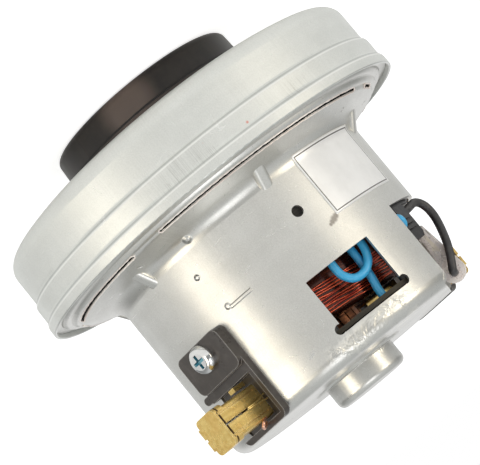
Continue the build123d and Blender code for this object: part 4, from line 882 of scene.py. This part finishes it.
# %% Torn edges of the flange's slits
tear, take, outside = new_group(
    "torn_edge",
    [
        ("Start", FLOAT, 0.0), ("Span", FLOAT, 1.0), ("Radius", FLOAT, 57.0), ("Height", FLOAT, 44.0),
        ("Half Width", FLOAT, 0.4), ("Wire Radius", FLOAT, 0.1), ("Seed", FLOAT, 0.0),
        ("Material", "NodeSocketMaterial", None),
    ],
    [("Geometry", "NodeSocketGeometry")], "GeometryNodeTree",
)
slit_length = times(tear, take["Span"], take["Radius"])
slit_width = times(tear, take["Half Width"], 2.0)
loop = rounded_loop(tear, slit_length, slit_width, take["Half Width"], 420, limit_radius=True)
run, out_by = split_xyz(tear, tear.nodes.new("GeometryNodeInputPosition").outputs[0])[:2]
twist = join_xyz(tear, times(tear, run, 900.0), times(tear, out_by, 4000.0), take["Seed"])
middle_angle = plus(tear, take["Start"], times(tear, take["Span"], 0.5))
turned = plus(tear, maths(tear, "DIVIDE", run, take["Radius"]), middle_angle)
reach = plus(tear, plus(tear, take["Radius"], out_by), wobble(tear, twist, 1.0, 0.5 * MM))
height = plus(tear, take["Height"], wobble(tear, twist, 1.6, 0.4 * MM))
height = minus(tear, height, times(tear, out_by, 0.85))
finish_recipe(tear, take, outside, round_the_wall(tear, loop, reach, turned, height), 6)

# The torn lips are bare steel; their near-white colour is painted highlight.
burr_steel = turned_metal("burr_steel", (1.0, 0.96, 0.94), (0.78, 0.68, 0.64), 0.32, 700.0, metallic=0.35)
slit_middle, slit_height, slit_half, lip_radius = 57.0, 43.55, 0.52, 0.27
edges_made = []
for number, (start, span) in enumerate(slit_spans):
    mesh = run_recipe("slit_edge_%d" % (number + 1), tear, {
        "Start": math.radians(start), "Span": math.radians(span), "Radius": slit_middle * MM,
        "Height": slit_height * MM, "Half Width": slit_half * MM, "Wire Radius": lip_radius * MM,
        "Seed": 11.0 * number, "Material": burr_steel,
    })
    edges_made.append(add_piece(mesh.name, mesh))
print("slit edges:", len(edges_made))

# %% [markdown]
# The label is a thin sheet wrapped on the wall, and its lower edge climbs the throat. It
# stays bare inside its printed frame line. A mark in the wall's finish would be simpler,
# but the sheet has an edge that catches the light.

# %% Label
throat_corner, throat_curve = 51.5, 5.0
label_angles, label_heights = (-111.5, -74.2), (48.8, 70.3)
label_lift, label_thick = 0.05, 0.1


def wall_at(height):
    """The housing's radius at a height in mm: straight, or on the throat's curve."""
    if height >= throat_corner:
        return wall_radius
    drop = throat_corner - height
    return wall_radius + throat_curve - math.sqrt(throat_curve**2 - drop**2)


def wrapped_sheet(name, angles, heights, lift, thick, columns=48, rows=30):
    """A closed thin sheet that lies on the housing's wall."""
    made = bmesh.new()
    # Each column is a ring: up the side that lies on the wall, and down the outer side.
    ring_steps = [(lift, j) for j in range(rows + 1)] + [(lift + thick, j) for j in range(rows, -1, -1)]
    rings = []
    for i in range(columns + 1):
        angle = angles[0] + (angles[1] - angles[0]) * i / columns
        ring = []
        for off, j in ring_steps:
            height = heights[0] + (heights[1] - heights[0]) * j / rows
            ring.append(made.verts.new(round_place(wall_at(height) + off, angle, height)))
        rings.append(ring)
    for near, far in zip(rings, rings[1:]):
        for k in range(len(ring_steps)):
            made.faces.new((near[k - 1], far[k - 1], far[k], near[k]))
    for ring in (rings[0], rings[-1]):
        for j in range(rows):
            made.faces.new((ring[j], ring[j + 1], ring[-2 - j], ring[-1 - j]))
    bmesh.ops.recalc_face_normals(made, faces=made.faces)
    mesh = bpy.data.meshes.new(name)
    made.to_mesh(mesh)
    made.free()
    mesh.shade_smooth()
    return mesh


label_foil, tree, shader, place = new_finish("label_foil", (0.9, 0.9, 0.91), 0.3, 0.3)
fine = use_group(tree, grain, place, scale=2400.0)
cloud = use_group(tree, grain, place, scale=70.0)
tone = blend_colour(tree, band(tree, cloud, 0.3, 0.7), (0.86, 0.86, 0.87), (0.97, 0.97, 0.98))


def inside_label(inset):
    """A mask over the label, less an edge as wide as the inset in mm."""
    inset_angle = math.degrees(inset / wall_radius)
    angles = (label_angles[0] + inset_angle, label_angles[1] - inset_angle)
    heights = (label_heights[0] + inset, label_heights[1] - inset)
    return zone(tree, place, angles, heights, 0.1, 0.05)


frame_inset, frame_line = 0.7, 0.34
printed = minus(tree, inside_label(frame_inset), inside_label(frame_inset + frame_line))
tone = tint(tree, tone, printed, 0.9, (0.05, 0.045, 0.045))
set_node(tree, shader, base_color=tone, roughness=band(tree, fine, 0.3, 0.7, 0.28, 0.42))
bump(tree, shader, cloud, 0.3, 0.0002)
sheet = wrapped_sheet("blank_label", label_angles, label_heights, label_lift, label_thick)
label = add_piece("blank_label", sheet, label_foil)
print("label:", [round(v / MM, 1) for v in label.dimensions])

# %% [markdown]
# Small wires and folds. The seam of each brush tube is crimped shut: a bent tongue lies
# on it, and its edges are torn. A bare copper strand leaves the tube near the housing,
# the end of a blue lead shows beside the block, and the black lead bows from the block
# to its sleeve. Each is a round wire on a smooth line that a few points steer. A swept
# solid would do too, but such a line is quick to bend until it matches the photograph.

# %% Small wires and folds
def swept_wire(name, lines, radius, material):
    """Round wires steered by points in mm, with closed ends, as one piece."""
    curve = bpy.data.curves.new(name, "CURVE")
    curve.dimensions = "3D"
    curve.bevel_depth = radius * MM
    curve.bevel_resolution = 3
    curve.resolution_u = 6
    curve.use_fill_caps = True
    for points in lines:
        spline = curve.splines.new("NURBS")
        spline.points.add(len(points) - 1)
        for knot, (x, y, z) in zip(spline.points, points):
            knot.co = (x * MM, y * MM, z * MM, 1.0)
        spline.order_u = 3
        spline.use_endpoint_u = True
    carrier = bpy.data.objects.new(name + "_line", curve)
    scene.collection.objects.link(carrier)
    mesh = plain_mesh(carrier, name)
    mesh.shade_smooth()
    return add_piece(name, mesh, material)


def half_turn(points):
    """The same points on the other brush, half a turn round the shaft."""
    return [(-x, -y, z) for x, y, z in points]


tongue_line = [
    (51.6, -4.3, 97.5), (48.6, -4.75, 97.75), (45.6, -5.05, 97.8), (44.0, -5.15, 98.25),
    (42.7, -5.15, 98.1), (42.2, -5.1, 97.3), (42.8, -5.1, 96.5), (44.2, -5.1, 96.5),
    (45.8, -5.0, 97.1), (48.8, -4.7, 97.2), (51.2, -4.25, 97.15),
]
# The torn edges run along both sides of the seam, a little uneven from step to step.
chance = random.Random(7)
seam_start, seam_step, seam_face, seam_height = 51.2, 0.6, -4.28, 97.3
burr_lines = []
for beside in (-0.36, 0.36):
    burr_lines.append([
        (
            seam_start + seam_step * step, seam_face - 0.12 * chance.random(),
            seam_height + beside + 0.24 * (chance.random() - 0.5),
        )
        for step in range(17)
    ])
strand_line = [
    (47.2, -3.4, 102.4), (49.4, -4.3, 103.0), (50.6, -3.9, 104.0),
    (49.8, -2.6, 104.6), (47.8, -1.6, 104.4), (46.2, -1.6, 103.6),
]
bare_copper = turned_metal(
    "bare_copper", (0.93, 0.56, 0.42), (0.7, 0.36, 0.24), 0.3, 2400.0, metallic=0.9
)
tongue_radius, burr_radius, copper_radius, blue_radius = 0.26, 0.13, 0.5, 1.15
for side_name, placed_by in (("a", list), ("b", half_turn)):
    swept_wire("seam_tongue_" + side_name, [placed_by(tongue_line)], tongue_radius, brass)
    swept_wire("seam_burrs_" + side_name, [placed_by(line) for line in burr_lines], burr_radius, brass)
    swept_wire("brush_strand_" + side_name, [placed_by(strand_line)], copper_radius, bare_copper)
blue_end = [tuple(v / MM for v in round_place(*spot)) for spot in (
    (41.0, -98.8, 79.6), (44.2, -99.3, 80.8), (44.6, -99.8, 82.4), (43.8, -100.6, 84.0),
    (40.8, -101.0, 84.8),
)]
swept_wire("blue_lead_end", [blue_end], blue_radius, blue_insulation)
wires = [o.name for o in scene.objects if o.name.startswith(("seam_", "brush_strand", "blue_lead_end"))]
print("small wires:", wires)

# %% The black lead
# It leaves the block's side, bends out under the edge of the wall, and comes down in one
# even bow to the eye of the sleeve. Its points are told from the sleeve's angle and the
# insulator's rear, in mm: outwards from the shaft, sideways from the sleeve's middle, up.
black_lead_radius, sleeve_turn, insulator_rear = 1.34, math.radians(-128.5), 77.7
black_lead_bow = [
    (40.3, 6.4, 2.1), (42.2, 2.8, 1.7), (44.7, -0.2, 0.9), (46.4, -2.4, 3.6),
    (46.6, -2.7, 8.1), (45.6, 0.6, 13.1), (44.4, 3.8, 17.4), (42.9, 5.4, 20.8),
    (41.2, 6.4, 23.7), (40.3, 6.3, 25.3), (40.4, 2.8, 25.4),
]
bow = [
    (
        outward * math.cos(sleeve_turn) - aside * math.sin(sleeve_turn),
        outward * math.sin(sleeve_turn) + aside * math.cos(sleeve_turn),
        insulator_rear + up_by,
    )
    for outward, aside, up_by in black_lead_bow
]
lead_bow = swept_wire("supply_lead_bow", [bow], black_lead_radius, black_insulation)
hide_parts("supply_lead")
bow_length = sum((Vector(far) - Vector(near)).length for near, far in zip(bow, bow[1:]))
print("black lead along its corners:", round(bow_length, 1), "mm")

# %% [markdown]
# The spring behind each brush is pressed shorter when the brush is pushed back into its
# tube. Here a copy of the solid's mesh, with its doubled points merged, takes the solid's
# place and keeps its length.

# %% Brush springs
for side_name, way in (("a", 1), ("b", -1)):
    solid_name = "brush_spring_" + side_name
    merged = bmesh.new()
    merged.from_mesh(nodes[solid_name].data)
    bmesh.ops.remove_doubles(merged, verts=merged.verts, dist=0.000001)
    mesh = bpy.data.meshes.new("pressed_spring_" + side_name)
    merged.to_mesh(mesh)
    merged.free()
    spring = add_piece(mesh.name, mesh, spring_steel)
    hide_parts(solid_name)
    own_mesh(spring)
